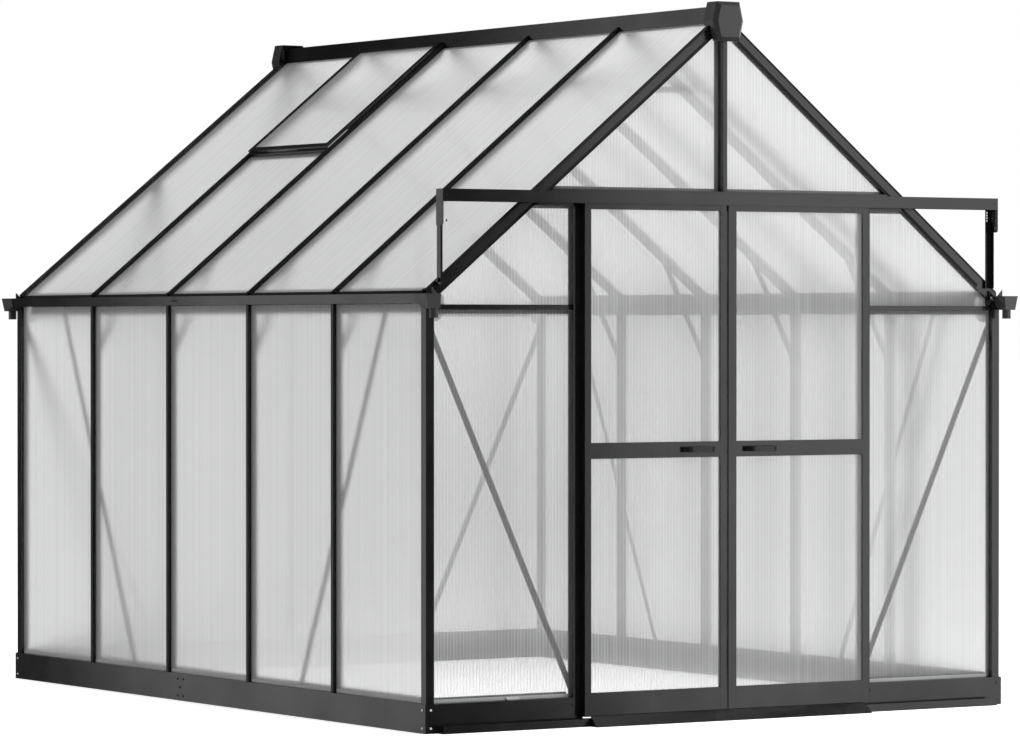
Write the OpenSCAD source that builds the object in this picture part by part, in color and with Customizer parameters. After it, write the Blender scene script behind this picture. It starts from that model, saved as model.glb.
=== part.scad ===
// Walk-in greenhouse: a bolted bar frame glazed with twin-wall sheet, two sliding doors and a roof vent.
// X runs across the gables, Y from the front gable to the back, Z up. The origin is on the ground,
// at the middle of the plan. All sizes are in millimetres.

/* [Plan] */
// Bay pitch along the side walls
side_bay = 610; // [450:5:800]
// Number of side bays
side_bays = 5; // [4:1:8]
// Bay pitch across the gables
gable_bay = 610; // [560:5:760]
// From the last side bay line to the outer face of the corner post
end_margin = 25; // [20:1:60]
// From the outer gable bay line to the outer face of the corner post
side_margin = 7; // [0:1:30]
// Where the long pieces are joined, behind the middle of the house
splice_y = 191; // [60:1:240]

/* [Heights] */
// Height of the base frame
base_h = 100; // [60:5:160]
// Height of the underside of the gutter
eave_z = 1461; // [1300:1:1750]
// Height of the line where the two outer roof planes would meet
apex_z = 2490; // [2350:5:3000]
// Height of the outer roof plane above the gutter's underside at the outer ends of the bars
eave_rise = 48; // [40:1:64]

/* [Bars] */
// Width of the outer head of a glazing bar
bar_head_w = 17; // [12:0.5:24]
// How far a bar's head stands proud of the sheet
bar_proud = 13; // [8:0.5:20]
// Thickness of the web between two sheets
bar_web_t = 4; // [3:0.5:6]
// Width of the inner flange
bar_flange_w = 44; // [34:1:56]
// Thickness of the inner flange
bar_flange_t = 3; // [2:0.5:4]
// From the wall's outer face in to the ends of the roof bars
bar_end_in = 7; // [4:1:14]
// How far a transom's inner flange hangs below the middle of its head
transom_drop = 23; // [16:1:30]
// Depth of a bar from its outer face to its inner face on the side walls and the roof
bar_depth = 42; // [36:1:52]
// Width of the inner bolt channel
rib_w = 18; // [14:1:24]
// Width of the slot in the bolt channel
rib_slot_w = 8; // [6:0.5:10]
// Wall of the bolt channel and of the hollow bars
rib_wall = 2; // [1.5:0.5:3]
// Side of a corner post
post_w = 32; // [30:1:40]
// How far the post's inner lips reach, from its outer faces
post_lip = 40; // [38:1:48]
// Width of a gable rafter, seen from the front
rafter_w = 46; // [40:1:56]

/* [Sheets] */
// Thickness of the twin-wall sheet
sheet_t = 6; // [4:1:10]
// Gap left round the edge of a sheet
sheet_gap = 1.5; // [0.5:0.25:3]
// How far a gable sheet's outer face lies behind the corner post's face
gable_recess = 21; // [18:1:26]

/* [Base] */
// How far the base stands out past the frame
base_ledge = 6; // [2:1:12]
// Wall of the base channel
base_wall = 2; // [1.5:0.5:4]
// Height of the inner upstand on the base
base_lip = 18; // [10:1:30]

/* [Gutter] */
// Height of the gutter's outer wall
gutter_h = 33; // [26:1:44]
// How far the gutter's floor runs out past the frame
gutter_floor_out = 27; // [18:1:36]
// How much further out the gutter's rim is
gutter_flare = 8; // [4:1:14]
// Wall of the gutter
gutter_wall = 2; // [1.5:0.5:3]
// How far the gutter's inner leg hangs down behind the bars
gutter_leg = 31; // [20:1:42]
// How far the seat under the roof bars reaches out past the gutter's inner wall
seat_w = 15; // [10:1:20]
// Length of an end cap in front of the frame
cap_l = 62.5; // [50:0.5:75]
// How far an end cap laps over the gutter
cap_lap = 22; // [4:1:30]
// Depth of an end cap's outlet below the gutter's underside
cap_drop = 17.5; // [8:0.5:30]
// Wall of the moulded caps
cap_wall = 2.5; // [2:0.5:4]
// Radius of the outlet spout
spout_r = 15.5; // [12:0.5:18]
// Length of the outlet spout
spout_l = 32; // [25:1:45]

/* [Ridge] */
// Half the width of the ridge beam
ridge_half_w = 25; // [20:1:32]
// Height of the ridge beam's top above the meeting line of the roof planes
ridge_rise = 21; // [12:1:30]
// Depth of the ridge beam
ridge_h = 68; // [62:1:110]
// Wall of the ridge beam
ridge_wall = 2.5; // [2:0.5:4]
// How far a ridge cap stands out past the rafters
ridge_cap_out = 48; // [35:1:60]
// Width of a ridge cap at its top and bottom
ridge_cap_w = 100; // [84:2:110]
// How much further each side of a ridge cap stands out at its widest
ridge_cap_swell = 15; // [8:1:20]
// Height of a ridge cap's widest line below the meeting line of the roof planes
ridge_cap_waist = 32; // [20:1:44]
// Depth of a ridge cap below the meeting line of the roof planes
ridge_cap_drop = 103; // [90:1:130]
// Height of a ridge cap above the ridge beam
ridge_cap_over = 15; // [8:1:20]

/* [Doors] */
// Width of the doorway between the jambs
doorway_w = 1192; // [1000:2:1240]
// Width of a door jamb
jamb_w = 39; // [34:1:46]
// Height of the header's underside
header_z = 1800; // [1650:5:1900]
// Height of the header
header_h = 58; // [50:1:70]
// Thickness of a door leaf
leaf_t = 16; // [14:1:24]
// Width of a door stile
stile_w = 26; // [22:1:36]
// Width of the extra lip on the right leaf's meeting stile
lip_w = 8; // [6:1:14]
// Gap between the two leaves
leaf_gap = 8; // [5:0.5:12]
// How far left of the middle the leaves meet
meeting_x = 7.5; // [0:0.5:15]
// How far each leaf laps over its jamb
leaf_lap = 11; // [5:1:20]
// Height of a leaf's bottom rail
bottom_rail_h = 82; // [60:1:110]
// Height of a leaf's middle rail
mid_rail_h = 55; // [40:1:70]
// Height of the middle of the middle rail
mid_rail_z = 952; // [800:2:1100]
// Height of a leaf's top rail
top_rail_h = 30; // [26:1:50]
// How far each leaf slides open
travel = 565; // [400:5:570]
// Length of a door handle
handle_l = 134; // [100:2:180]
// How far a handle stands out
handle_out = 30; // [24:1:40]
// Height of a handle
handle_h = 18; // [12:1:26]
// From the edge of a leaf to the middle of its handle
handle_in = 125; // [100:1:200]

/* [Rail and track] */
// Height of the top rail's underside above the header's
rail_up = 8; // [4:1:14]
// How far a leaf reaches up behind the rail's front wall
leaf_in_rail = 10; // [6:1:14]
// Height of the top rail's channel
rail_h = 42; // [36:1:50]
// Depth of the top rail's channel
rail_d = 44; // [42:1:54]
// Gap between a leaf slid fully open and the plate on the end of the rail
stop_gap = 12; // [8:1:20]
// Wall of the rail and the track
rail_wall = 2; // [1.5:0.5:3]
// Height of the bottom track
track_h = 27; // [20:1:32]
// Clearance round the moving leaves
run_gap = 6; // [5:0.5:8]
// Radius of a door roller
roller_r = 6.5; // [5:0.5:9]
// Gap between a roller and the ledge that it runs on
roller_gap = 0.3; // [0.2:0.05:0.5]

/* [Roof vent] */
// Side bay that the vent is in, counted from the front
vent_bay = 4; // [2:1:4]
// Length of the vent down the slope
vent_l = 655; // [450:5:800]
// Height of the vent's frame above the bars
vent_h = 12; // [10:1:24]
// Width of the vent's rails
vent_rail_w = 22; // [16:1:36]

/* [Braces] */
// Width of a flat brace
brace_w = 22; // [16:1:30]
// Thickness of a flat brace
brace_t = 3; // [2:0.5:5]
// Gap between a brace's end and the flange beside it
brace_gap = 1; // [0.5:0.5:3]
// Diameter of the bolt holes
bolt_d = 6.5; // [5:0.5:9]
// Height where a knee brace meets the wall bar, below the gutter
knee_drop = 191; // [140:1:300]
// Distance of a knee brace's upper end from the outer face of the wall
knee_in = 212; // [150:1:300]
// Height of the collar ties below the meeting line of the roof planes
collar_drop = 241; // [180:1:400]

/* [Hidden] */
$fn = 48;

// Further than any piece reaches
big = 6000;
// How far parts of one solid run into each other, and a cutter past what it cuts
bite = 1;
// Gap between faces that meet on a slope, and between the two lengths of a spliced piece
fit = 0.02;
splice_gap = 0.4;

// Plan
half_w = 2 * gable_bay + side_margin;
half_l = side_bays * side_bay / 2 + end_margin;
frame_ys = [for (i = [1:side_bays - 1]) (i - side_bays / 2) * side_bay];

// Roof: depths below the outer plane are d, distances down the slope are s
bar_end_x = half_w - bar_end_in;
pitch = atan((apex_z - eave_z - eave_rise) / bar_end_x);
function roof_z(x, d = 0) = apex_z - x * tan(pitch) - d / cos(pitch);
function roof_x(z, d = 0) = (apex_z - z - d / cos(pitch)) / tan(pitch);
function slope_s(x, d = 0) = (x + d * sin(pitch)) / cos(pitch);
flange_d = bar_proud + sheet_t;
seat_d = flange_d + bar_flange_t;
// Depth of the middle of a brace's end, clear of the inner flanges
brace_d = seat_d + brace_w / 2 + brace_gap;

// The gutter's inner wall, and the sloping seat on it that carries the roof
gutter_in = half_w - bar_depth - gutter_wall;
seat_in = gutter_in - gutter_wall;
seat_out = gutter_in + seat_w;
rib_end_x = seat_in - sheet_gap;

// Gables: depths behind the corner post's face are v
rafter_v = gable_recess - bar_proud;
flange_v = gable_recess + sheet_t;
inner_v = flange_v + bar_flange_t;

// Ridge
ridge_top = apex_z + ridge_rise;
ridge_low = ridge_top - ridge_h;

// Doors
jamb_in = doorway_w / 2;
jamb_web_w = 16;
jamb_out = jamb_in + jamb_w;
leaf_out = jamb_in + leaf_lap;
left_leaf_in = meeting_x + leaf_gap / 2;
right_leaf_in = meeting_x - leaf_gap / 2;
rail_z = header_z + rail_up;
rail_half = leaf_out + travel + stop_gap;
leaf_front_y = -half_l - rail_d + rail_wall + run_gap;
leaf_back_y = leaf_front_y + leaf_t;
leaf_z0 = track_h + run_gap;
leaf_z1 = rail_z + leaf_in_rail;

module frame_colour() color("#3a3d40") children();
module door_colour() color("#2b2d2f") children();
module sheet_colour() color("#dfe6e6", 0.6) children();
module cap_colour() color("#3f4245") children();

// Places a left-hand child on both sides
module both_sides() {
    children();
    mirror([1, 0, 0]) children();
}

// Places a front child on both gables
module both_ends() {
    children();
    mirror([0, 1, 0]) children();
}

// Turns an outline of x against height into a plate standing across the house, from y0 to y1
module across(y0, y1) translate([0, y1, 0]) rotate([90, 0, 0]) linear_extrude(y1 - y0) children();

// Turns an outline of depth against height into a beam along the front gable, from x0 to x1
module along_front(x0, x1)
    translate([x0, -half_l, 0]) rotate([90, 0, 90]) linear_extrude(x1 - x0) children();

// Turns an outline of x against height into a long piece in two lengths, spliced behind the middle
module spliced(y0, y1) {
    across(y0, splice_y - splice_gap / 2) children();
    across(splice_y + splice_gap / 2, y1) children();
}

// Lays a child on the left roof: its x is the depth, its z the distance down the slope
module on_left_roof()
    translate([0, 0, apex_z]) rotate([0, 90 - pitch, 0]) rotate([180, 0, 0]) children();

// Turns an outline of depth against distance down the slope into a piece from y0 to y1 on the left roof
module along_roof(y0, y1)
    on_left_roof() translate([0, -y0, 0]) rotate([90, 0, 0]) linear_extrude(y1 - y0) children();

// Keeps what lies between two distances from the middle, on the left
module between_x(x0, x1) intersection() {
    children();
    translate([-x1, -big / 2, 0]) cube([x1 - x0, big, big]);
}

// Outline, as x against height on the left, of a strip of the roof's slope
module slope_strip(d0, d1, x0, x1) polygon([
    [-x0, roof_z(x0, d0)], [-x1, roof_z(x1, d0)], [-x1, roof_z(x1, d1)], [-x0, roof_z(x0, d1)]
]);

// Outline of all that lies under a depth below both roof planes
module under_roof(d) polygon([[0, roof_z(0, d)], [big, roof_z(big, d)], [-big, roof_z(big, d)]]);

// Outline round circles of one radius, whose centres are listed counterclockwise
module rounded(centres, r) {
    count = len(centres);
    polygon([for (i = [0:count - 1]) for (side = [i + count - 1, i])
        centres[i] + r * side_normal(centres, side % count)
    ]);
    for (p = centres) translate(p) circle(r = r);
}

// Outward direction of the side that follows a point
function side_normal(points, i) =
    let (run = points[(i + 1) % len(points)] - points[i]) [run.y, -run.x] / norm(run);

// Rectangle with an inner rectangle cut out of it
module hollow_square(size, wall) difference() {
    square(size);
    translate([wall, wall]) square([size.x - 2 * wall, size.y - 2 * wall]);
}

// Head and web of a glazing bar: x is the depth behind the wall's face, y runs along the wall
module bar_head(face, recess) {
    translate([face, -bar_head_w / 2]) square([recess - face, bar_head_w]);
    translate([face, -bar_web_t / 2]) square([recess + sheet_t - face, bar_web_t]);
}

// Inner flange of a glazing bar, with the root of the web
module bar_flange(flange) {
    translate([flange, -bar_flange_w / 2]) square([bar_flange_t, bar_flange_w]);
    translate([flange - bite, -bar_web_t / 2]) square([2 * bite, bar_web_t]);
}

// Bolt channel on the inside of a glazing bar
module bar_rib(flange, depth) {
    inner = flange + bar_flange_t;
    difference() {
        translate([flange, -rib_w / 2]) square([depth - flange, rib_w]);
        translate([inner, -rib_w / 2 + rib_wall]) square([depth - inner - rib_wall, rib_w - 2 * rib_wall]);
        translate([inner, -rib_slot_w / 2]) square([depth, rib_slot_w]);
    }
}

module bar_section(face, recess, depth) {
    bar_head(face, recess);
    bar_flange(recess + sheet_t);
    bar_rib(recess + sheet_t, depth);
}

/* Base */

// Section of the base: x is the depth behind the frame's face, y the height
module base_section() {
    run = base_ledge + bar_depth + base_wall;
    translate([-base_ledge, 0]) square([base_wall, base_h]);
    translate([-base_ledge, 0]) square([run, base_wall]);
    translate([-base_ledge, base_h - base_wall]) square([run, base_wall]);
    translate([bar_depth, base_h - base_wall]) square([base_wall, base_lip + base_wall]);
}

// Plan of the front base, mitred at both corners
module front_mitre() polygon([
    [-half_w - base_ledge, -half_l - base_ledge], [half_w + base_ledge, -half_l - base_ledge],
    [0, half_w - half_l]
]);

module base_end(x0) intersection() {
    along_front(x0, half_w + base_ledge) base_section();
    linear_extrude(big) front_mitre();
}

module base_front() frame_colour() both_sides() base_end(jamb_out);

module base_rear() frame_colour() mirror([0, 1, 0]) base_end(-half_w - base_ledge);

module base_side() difference() {
    spliced(-half_l - base_ledge, half_l + base_ledge) translate([-half_w, 0]) base_section();
    both_ends() linear_extrude(big) front_mitre();
}

module base_left() frame_colour() base_side();

module base_right() frame_colour() mirror([1, 0, 0]) base_side();

/* Walls */

module corner_post() translate([-half_w, -half_l, base_h]) linear_extrude(eave_z - base_h) {
    hollow_square([post_w, gable_recess], rib_wall);
    translate([0, gable_recess - rib_wall]) square([bar_proud, post_w - gable_recess + rib_wall]);
    translate([flange_d, gable_recess - rib_wall])
        square([bar_flange_t, post_lip - gable_recess + rib_wall]);
    translate([flange_d, flange_v]) square([post_lip - flange_d, bar_flange_t]);
}

module corner_posts() frame_colour() both_ends() both_sides() corner_post();

module wall_bars() for (y = frame_ys)
    translate([-half_w, y, base_h]) linear_extrude(eave_z - base_h) bar_section(0, bar_proud, bar_depth);

module left_wall_bars() frame_colour() wall_bars();

module right_wall_bars() frame_colour() mirror([1, 0, 0]) wall_bars();

/* Roof */

roof_l = slope_s(bar_end_x, bar_depth);

module roof_bar() {
    between_x(ridge_half_w, bar_end_x) on_left_roof() linear_extrude(roof_l) bar_head(0, bar_proud);
    between_x(ridge_half_w, seat_out) on_left_roof() linear_extrude(roof_l) bar_flange(flange_d);
    between_x(ridge_half_w, rib_end_x)
        on_left_roof() linear_extrude(roof_l) bar_rib(flange_d, bar_depth);
}

module roof_bars() for (y = frame_ys) translate([0, y, 0]) roof_bar();

module left_roof_bars() frame_colour() roof_bars();

module right_roof_bars() frame_colour() mirror([1, 0, 0]) roof_bars();

// A gable rafter is a two-chamber tube with a flange under the roof sheet and one behind the gable sheet
module front_rafter() difference() {
    union() {
        across(-half_l + rafter_v, -half_l + gable_recess) {
            slope_strip(0, rafter_w, ridge_half_w, rib_end_x);
            slope_strip(0, seat_d, ridge_half_w, bar_end_x);
        }
        across(-half_l + rafter_v, -half_l + inner_v)
            slope_strip(flange_d, seat_d, ridge_half_w, seat_out);
        across(-half_l + flange_v, -half_l + inner_v)
            slope_strip(flange_d, rafter_w, ridge_half_w, rib_end_x);
    }
    across(-half_l + rafter_v + rib_wall, -half_l + gable_recess - rib_wall) {
        slope_strip(rib_wall, flange_d, ridge_half_w - bite, bar_end_x + bite);
        slope_strip(seat_d, rafter_w - rib_wall, ridge_half_w - bite, rib_end_x + bite);
    }
}

module front_rafters() frame_colour() both_sides() front_rafter();

module rear_rafters() frame_colour() mirror([0, 1, 0]) both_sides() front_rafter();

// The ridge beam is a box, drawn as x against height
module ridge_section() translate([-ridge_half_w, ridge_low])
    hollow_square([2 * ridge_half_w, ridge_h], ridge_wall);

module ridge_beam() frame_colour() spliced(-half_l + rafter_v, half_l - rafter_v) ridge_section();

// Centres of the ridge cap's round corners, as x against height from the meeting line of the planes
cap_corner_r = 5;
cap_x = ridge_cap_w / 2 - cap_corner_r;
cap_high = ridge_rise + ridge_cap_over - cap_corner_r;
cap_deep = ridge_cap_drop - cap_corner_r;
cap_centres = [
    [cap_x, cap_high], [-cap_x, cap_high], [-cap_x - ridge_cap_swell, -ridge_cap_waist],
    [-cap_x, -cap_deep], [cap_x, -cap_deep], [cap_x + ridge_cap_swell, -ridge_cap_waist]
];
// Longer than the cap is wide or high
ridge_cap_l = 200;
// Lengths of the cap's bevel, and behind it of its skirt, of its hood and of what is left of its floor
cap_bevel = 14;
cap_skirt_l = 23;
cap_hood_l = 58;
cap_floor_l = 10;
cap_face_y = -half_l + rafter_v - ridge_cap_out;
cap_bevel_y = cap_face_y + cap_bevel;
cap_hood_y = cap_bevel_y + cap_hood_l;

// A slab that ends at one bevelled side of the cap: its plan is turned to face the side
module cap_side(i, inset) {
    normal = side_normal(cap_centres, i);
    reach = cap_centres[i] * normal + cap_corner_r - inset;
    translate([0, 0, apex_z]) rotate([0, -atan2(normal.y, normal.x), 0])
        linear_extrude(2 * ridge_cap_l, center = true) polygon([
            [-ridge_cap_l, cap_face_y + inset], [reach - cap_bevel, cap_face_y + inset],
            [reach, cap_bevel_y + inset], [reach, cap_hood_y + inset], [-ridge_cap_l, cap_hood_y + inset]
        ]);
}

// The cap's outer form, or its inside where an inset is given
module cap_block(inset) intersection() {
    across(cap_face_y + inset, cap_hood_y + inset)
        translate([0, apex_z]) rounded(cap_centres, cap_corner_r - inset);
    intersection_for (i = [0:len(cap_centres) - 1]) cap_side(i, inset);
}

module ridge_cap() difference() {
    cap_block(0);
    cap_block(cap_wall);
    across(cap_bevel_y + cap_skirt_l, cap_hood_y + bite) under_roof(-fit);
    translate([-bar_head_w / 2 - sheet_gap, cap_bevel_y + cap_floor_l, apex_z - ridge_cap_drop - bite])
        cube([bar_head_w + 2 * sheet_gap, big, cap_wall + 2 * bite]);
}

module ridge_caps() cap_colour() both_ends() ridge_cap();

/* Gutters */

// Distance from the middle to the gutter's outer face at a height above its floor
function gutter_x(h) = half_w + gutter_floor_out + gutter_flare * h / gutter_h;

// Section of the left gutter, as x against height
module gutter_section() {
    translate([-gutter_x(0), eave_z]) square([gutter_x(0) - gutter_in, gutter_wall]);
    polygon([
        [-gutter_x(0), eave_z], [-gutter_x(gutter_h), eave_z + gutter_h],
        [-gutter_x(gutter_h) + gutter_wall, eave_z + gutter_h], [-gutter_x(0) + gutter_wall, eave_z]
    ]);
    polygon([
        [-gutter_in, eave_z], [-gutter_in - gutter_wall, eave_z],
        [-gutter_in - gutter_wall, roof_z(gutter_in + gutter_wall, seat_d + gutter_wall / 2)],
        [-gutter_in, roof_z(gutter_in, seat_d + gutter_wall / 2)]
    ]);
    slope_strip(seat_d + fit, seat_d + gutter_wall, seat_in, seat_out);
}

// The leg behind the bars stops this far short of the corner posts
leg_gap = 10;
leg_l = half_l - post_lip - leg_gap;

module gutter_leg() translate([-gutter_in - gutter_wall, eave_z - gutter_leg])
    square([gutter_wall, gutter_leg + gutter_wall]);

module gutter() {
    spliced(-half_l, half_l) gutter_section();
    spliced(-leg_l, leg_l) gutter_leg();
}

module left_gutter() frame_colour() gutter();

module right_gutter() frame_colour() mirror([1, 0, 0]) gutter();

// The end cap's inner side stands behind the frame's outer face, and leans the other way
cap_in = 20;
cap_inner_flare = 3;
function cap_inner_x(h) = half_w - cap_in - cap_inner_flare * h / gutter_h;
rim_z = eave_z + gutter_h;
cap_low_z = eave_z - cap_drop;
// The spout stands just inside the front and the inner edges of the cap's floor, which slopes down
// from the frame to a level part that starts this far behind the spout
spout_edge = 0.5;
spout_land = 6;
cap_slope_l = cap_l - 2 * (spout_r + spout_edge) - spout_land;
spout_x = cap_inner_x(-cap_drop) + spout_r + spout_edge;
spout_y = -half_l - cap_l + spout_r + spout_edge;

// Outline of the end cap's trough, moved inwards all round and open above
module trough_outline(inset) polygon([
    [-gutter_x(-cap_drop) - cap_wall + inset, cap_low_z + inset],
    [-gutter_x(gutter_h) - cap_wall + inset, rim_z + inset],
    [-cap_inner_x(gutter_h) - inset, rim_z + inset],
    [-cap_inner_x(-cap_drop) - inset, cap_low_z + inset]
]);

// Block of the trough, with its sloping floor moved inwards too
module trough_block(inset) intersection() {
    across(-half_l - cap_l + inset, -half_l + inset) trough_outline(inset);
    along_front(-big / 2, big / 2) polygon([
        [-big, big], [-big, cap_low_z + inset], [-cap_slope_l, cap_low_z + inset],
        [0, eave_z - cap_wall + inset], [big, eave_z - cap_wall + inset], [big, big]
    ]);
}

// Sleeve round the gutter's end, clear of the corner post
post_clear = 1;

module cap_sleeve() across(-half_l, -half_l + cap_lap) polygon([
    [-half_w - post_clear, eave_z], [-gutter_x(0), eave_z], [-gutter_x(gutter_h), rim_z],
    [-gutter_x(gutter_h) - cap_wall, rim_z], [-gutter_x(0) - cap_wall, eave_z - cap_wall],
    [-half_w - post_clear, eave_z - cap_wall]
]);

// Pointed tab that stands up across the trough: its width, height and distance from the frame
tab_w = 22;
tab_h = 56;
tab_out = 28;
tab_x = half_w - bar_end_in;
tab_top = eave_z + tab_h;
tab_y = -half_l - tab_out;

module cap_tab(low) across(tab_y, tab_y + cap_wall) polygon([
    [-tab_x, low], [-tab_x, tab_top], [-tab_x + tab_w, tab_top - tab_w],
    [-cap_inner_x(gutter_h) - bite, rim_z - tab_w / 2], [-cap_inner_x(gutter_h) - bite, low]
]);

module gutter_cap() {
    difference() {
        union() {
            trough_block(0);
            translate([-spout_x, spout_y, cap_low_z - spout_l]) cylinder(r = spout_r, h = spout_l + cap_drop);
            cap_tab(eave_z);
        }
        difference() {
            trough_block(cap_wall);
            cap_tab(cap_low_z);
        }
        translate([-spout_x, spout_y, cap_low_z - spout_l - bite])
            cylinder(r = spout_r - cap_wall, h = spout_l + cap_drop);
    }
    cap_sleeve();
}

module gutter_caps() cap_colour() both_ends() both_sides() gutter_cap();

/* Plates inside the joints */

splice_l = 92;
gutter_splice_l = 60;
// Gap above and below the plate in the base, and from the gutter's rim down to its liner
plate_gap = 2;
liner_gap = 6;
liner_h = gutter_h - liner_gap;

// A plate inside each base side and a liner in each gutter hold the two lengths together
module side_splices() {
    translate([-half_w - base_ledge + base_wall, splice_y - splice_l / 2, base_wall + plate_gap])
        cube([base_wall, splice_l, base_h - 2 * (base_wall + plate_gap)]);
    across(splice_y - gutter_splice_l / 2, splice_y + gutter_splice_l / 2) polygon([
        [-half_w, eave_z + gutter_wall], [-gutter_x(gutter_wall) + gutter_wall + fit, eave_z + gutter_wall],
        [-gutter_x(liner_h) + gutter_wall + fit, eave_z + liner_h],
        [-gutter_x(liner_h) + 2 * gutter_wall, eave_z + liner_h],
        [-gutter_x(2 * gutter_wall) + 2 * gutter_wall, eave_z + 2 * gutter_wall],
        [-half_w, eave_z + 2 * gutter_wall]
    ]);
}

// A liner inside the ridge beam holds its two lengths together
module ridge_splice() across(splice_y - splice_l / 2, splice_y + splice_l / 2)
    translate([-ridge_half_w + ridge_wall, ridge_low + ridge_wall])
        hollow_square([2 * (ridge_half_w - ridge_wall), ridge_h - 2 * ridge_wall], ridge_wall);

module splice_plates() frame_colour() {
    both_sides() side_splices();
    ridge_splice();
}

// The apex plate hangs below the ridge beam to a height where the middle bars' bolt channels also end
apex_plate_h = 29;
apex_plate_half = 38;
apex_plate_r = 8;
apex_plate_z = ridge_low - apex_plate_h;
apex_x = apex_plate_half - apex_plate_r;
apex_low = apex_plate_z + apex_plate_r;

module apex_plate() across(-half_l + inner_v, -half_l + inner_v + brace_t) difference() {
    intersection() {
        rounded([[-apex_x, ridge_low], [-apex_x, apex_low], [apex_x, apex_low], [apex_x, ridge_low]],
            apex_plate_r);
        under_roof(seat_d + sheet_gap);
    }
    translate([-ridge_half_w - sheet_gap, ridge_low]) square([2 * (ridge_half_w + sheet_gap), ridge_h]);
}

module apex_plates() frame_colour() both_ends() apex_plate();

// Plate behind each eave corner: how far it reaches out, in, down and up, and its cut corners
eave_plate_out = 14;
eave_plate_in = 46;
eave_plate_drop = 61;
eave_plate_up = 29;
eave_plate_cut = [26, 10];
eave_plate_low = eave_z - eave_plate_drop;
eave_plate_top = eave_z + eave_plate_up;

module eave_plate() across(-half_l + inner_v, -half_l + inner_v + brace_t)
    translate([-gutter_in, 0]) polygon([
        [-eave_plate_out, eave_plate_low], [eave_plate_in - eave_plate_cut[0], eave_plate_low],
        [eave_plate_in, eave_plate_low + eave_plate_cut[0]],
        [eave_plate_in, eave_plate_top - eave_plate_cut[1]],
        [eave_plate_in - eave_plate_cut[1], eave_plate_top], [sheet_gap, eave_plate_top],
        [sheet_gap, eave_z - sheet_gap], [-eave_plate_out, eave_z - sheet_gap]
    ]);

module eave_plates() frame_colour() both_ends() both_sides() eave_plate();

/* Front gable */

header_lip = 10;

module front_header() frame_colour() intersection() {
    along_front(-half_w, half_w) {
        translate([0, header_z]) hollow_square([gable_recess, header_h], rib_wall);
        translate([gable_recess - bite, header_z + header_h / 2 - bar_web_t / 2])
            square([sheet_t + 2 * bite, bar_web_t]);
        translate([flange_v, header_z - header_lip])
            square([bar_flange_t, header_h + 2 * header_lip]);
    }
    across(-half_l - bite, -half_l + inner_v + bite) under_roof(rafter_w + fit);
}

// How far the centre bar's face stands out past the corner posts
centre_bar_out = 10;

module front_centre_bar() frame_colour() translate([0, -half_l, 0]) {
    translate([0, 0, header_z + header_h]) linear_extrude(ridge_low - header_z - header_h)
        rotate(90) bar_head(-centre_bar_out, gable_recess);
    translate([0, 0, header_z + header_h + header_lip])
        linear_extrude(ridge_low - header_z - header_h - header_lip) rotate(90) bar_flange(flange_v);
    translate([0, 0, header_z + header_h + header_lip])
        linear_extrude(apex_plate_z - header_z - header_h - header_lip - sheet_gap)
            rotate(90) bar_rib(flange_v, bar_depth);
}

module door_jambs() frame_colour() both_sides() translate([0, -half_l]) {
    linear_extrude(header_z) {
        translate([-jamb_out, -base_ledge]) square([jamb_out - jamb_in, bar_flange_t]);
        translate([-jamb_in - jamb_web_w, -base_ledge])
            hollow_square([jamb_web_w, base_ledge + flange_v], rib_wall);
    }
    linear_extrude(header_z - header_lip)
        translate([-jamb_out, flange_v]) square([jamb_out - jamb_in, bar_flange_t]);
}

// Height of the middle of the transoms' heads, under the gutter
transom_down = 12;
transom_z = eave_z - transom_down;

// A transom under the eaves: its head runs from x0 to x1 and its flange, which hangs down, from x2 to x3
module transom(x0, x1, x2, x3) {
    along_front(x0, x1) translate([0, transom_z]) bar_head(rafter_v, gable_recess);
    along_front(x2, x3) {
        translate([flange_v - bite, transom_z - bar_web_t / 2]) square([2 * bite, bar_web_t]);
        translate([flange_v, transom_z - transom_drop]) square([bar_flange_t, transom_drop + bar_head_w / 2]);
    }
}

// The ends of a transom's head and flange at the corner posts
post_face_x = half_w - post_w;
post_lip_x = half_w - post_lip;

module front_transoms() frame_colour() both_sides()
    transom(-post_face_x, -jamb_in - jamb_web_w, -post_lip_x, -jamb_out);

/* Rear gable, drawn as a front gable and turned round */

rear_post_xs = [-gable_bay, 0, gable_bay];

module rear_post(x) translate([x, -half_l, base_h]) {
    linear_extrude(big) rotate(90) bar_head(rafter_v, gable_recess);
    linear_extrude(big) rotate(90) bar_flange(flange_v);
    linear_extrude((x == 0 ? apex_plate_z - sheet_gap : big) - base_h)
        rotate(90) bar_rib(flange_v, bar_depth);
}

module rear_posts() frame_colour() mirror([0, 1, 0]) intersection() {
    for (x = rear_post_xs) rear_post(x);
    across(-half_l - bite, -half_l + bar_depth + bite) difference() {
        under_roof(rafter_w + fit);
        translate([-ridge_half_w, ridge_low]) square([2 * ridge_half_w, ridge_h]);
    }
}

module rear_transoms() frame_colour() mirror([0, 1, 0]) both_sides() {
    transom(-post_face_x, -gable_bay - bar_head_w / 2, -post_lip_x, -gable_bay - bar_flange_w / 2);
    transom(-gable_bay + bar_head_w / 2, -bar_head_w / 2, -gable_bay + bar_flange_w / 2, -bar_flange_w / 2);
}

/* Sheets */

web_gap = bar_web_t / 2 + sheet_gap;
end_y = half_l - gable_recess - sheet_gap;
sheet_edges = concat([-end_y - web_gap], frame_ys, [end_y + web_gap]);

// Places a child of unit length in each side bay, stretched to the sheet's width
module in_each_bay() for (i = [0:side_bays - 1]) {
    $bay = i + 1;
    $y0 = sheet_edges[i] + web_gap;
    $y1 = sheet_edges[i + 1] - web_gap;
    children();
}

module wall_sheets() in_each_bay() translate([-half_w + bar_proud, $y0, base_h + sheet_gap])
    cube([sheet_t, $y1 - $y0, eave_z - base_h - 2 * sheet_gap]);

module left_wall_sheets() sheet_colour() wall_sheets();

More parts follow.
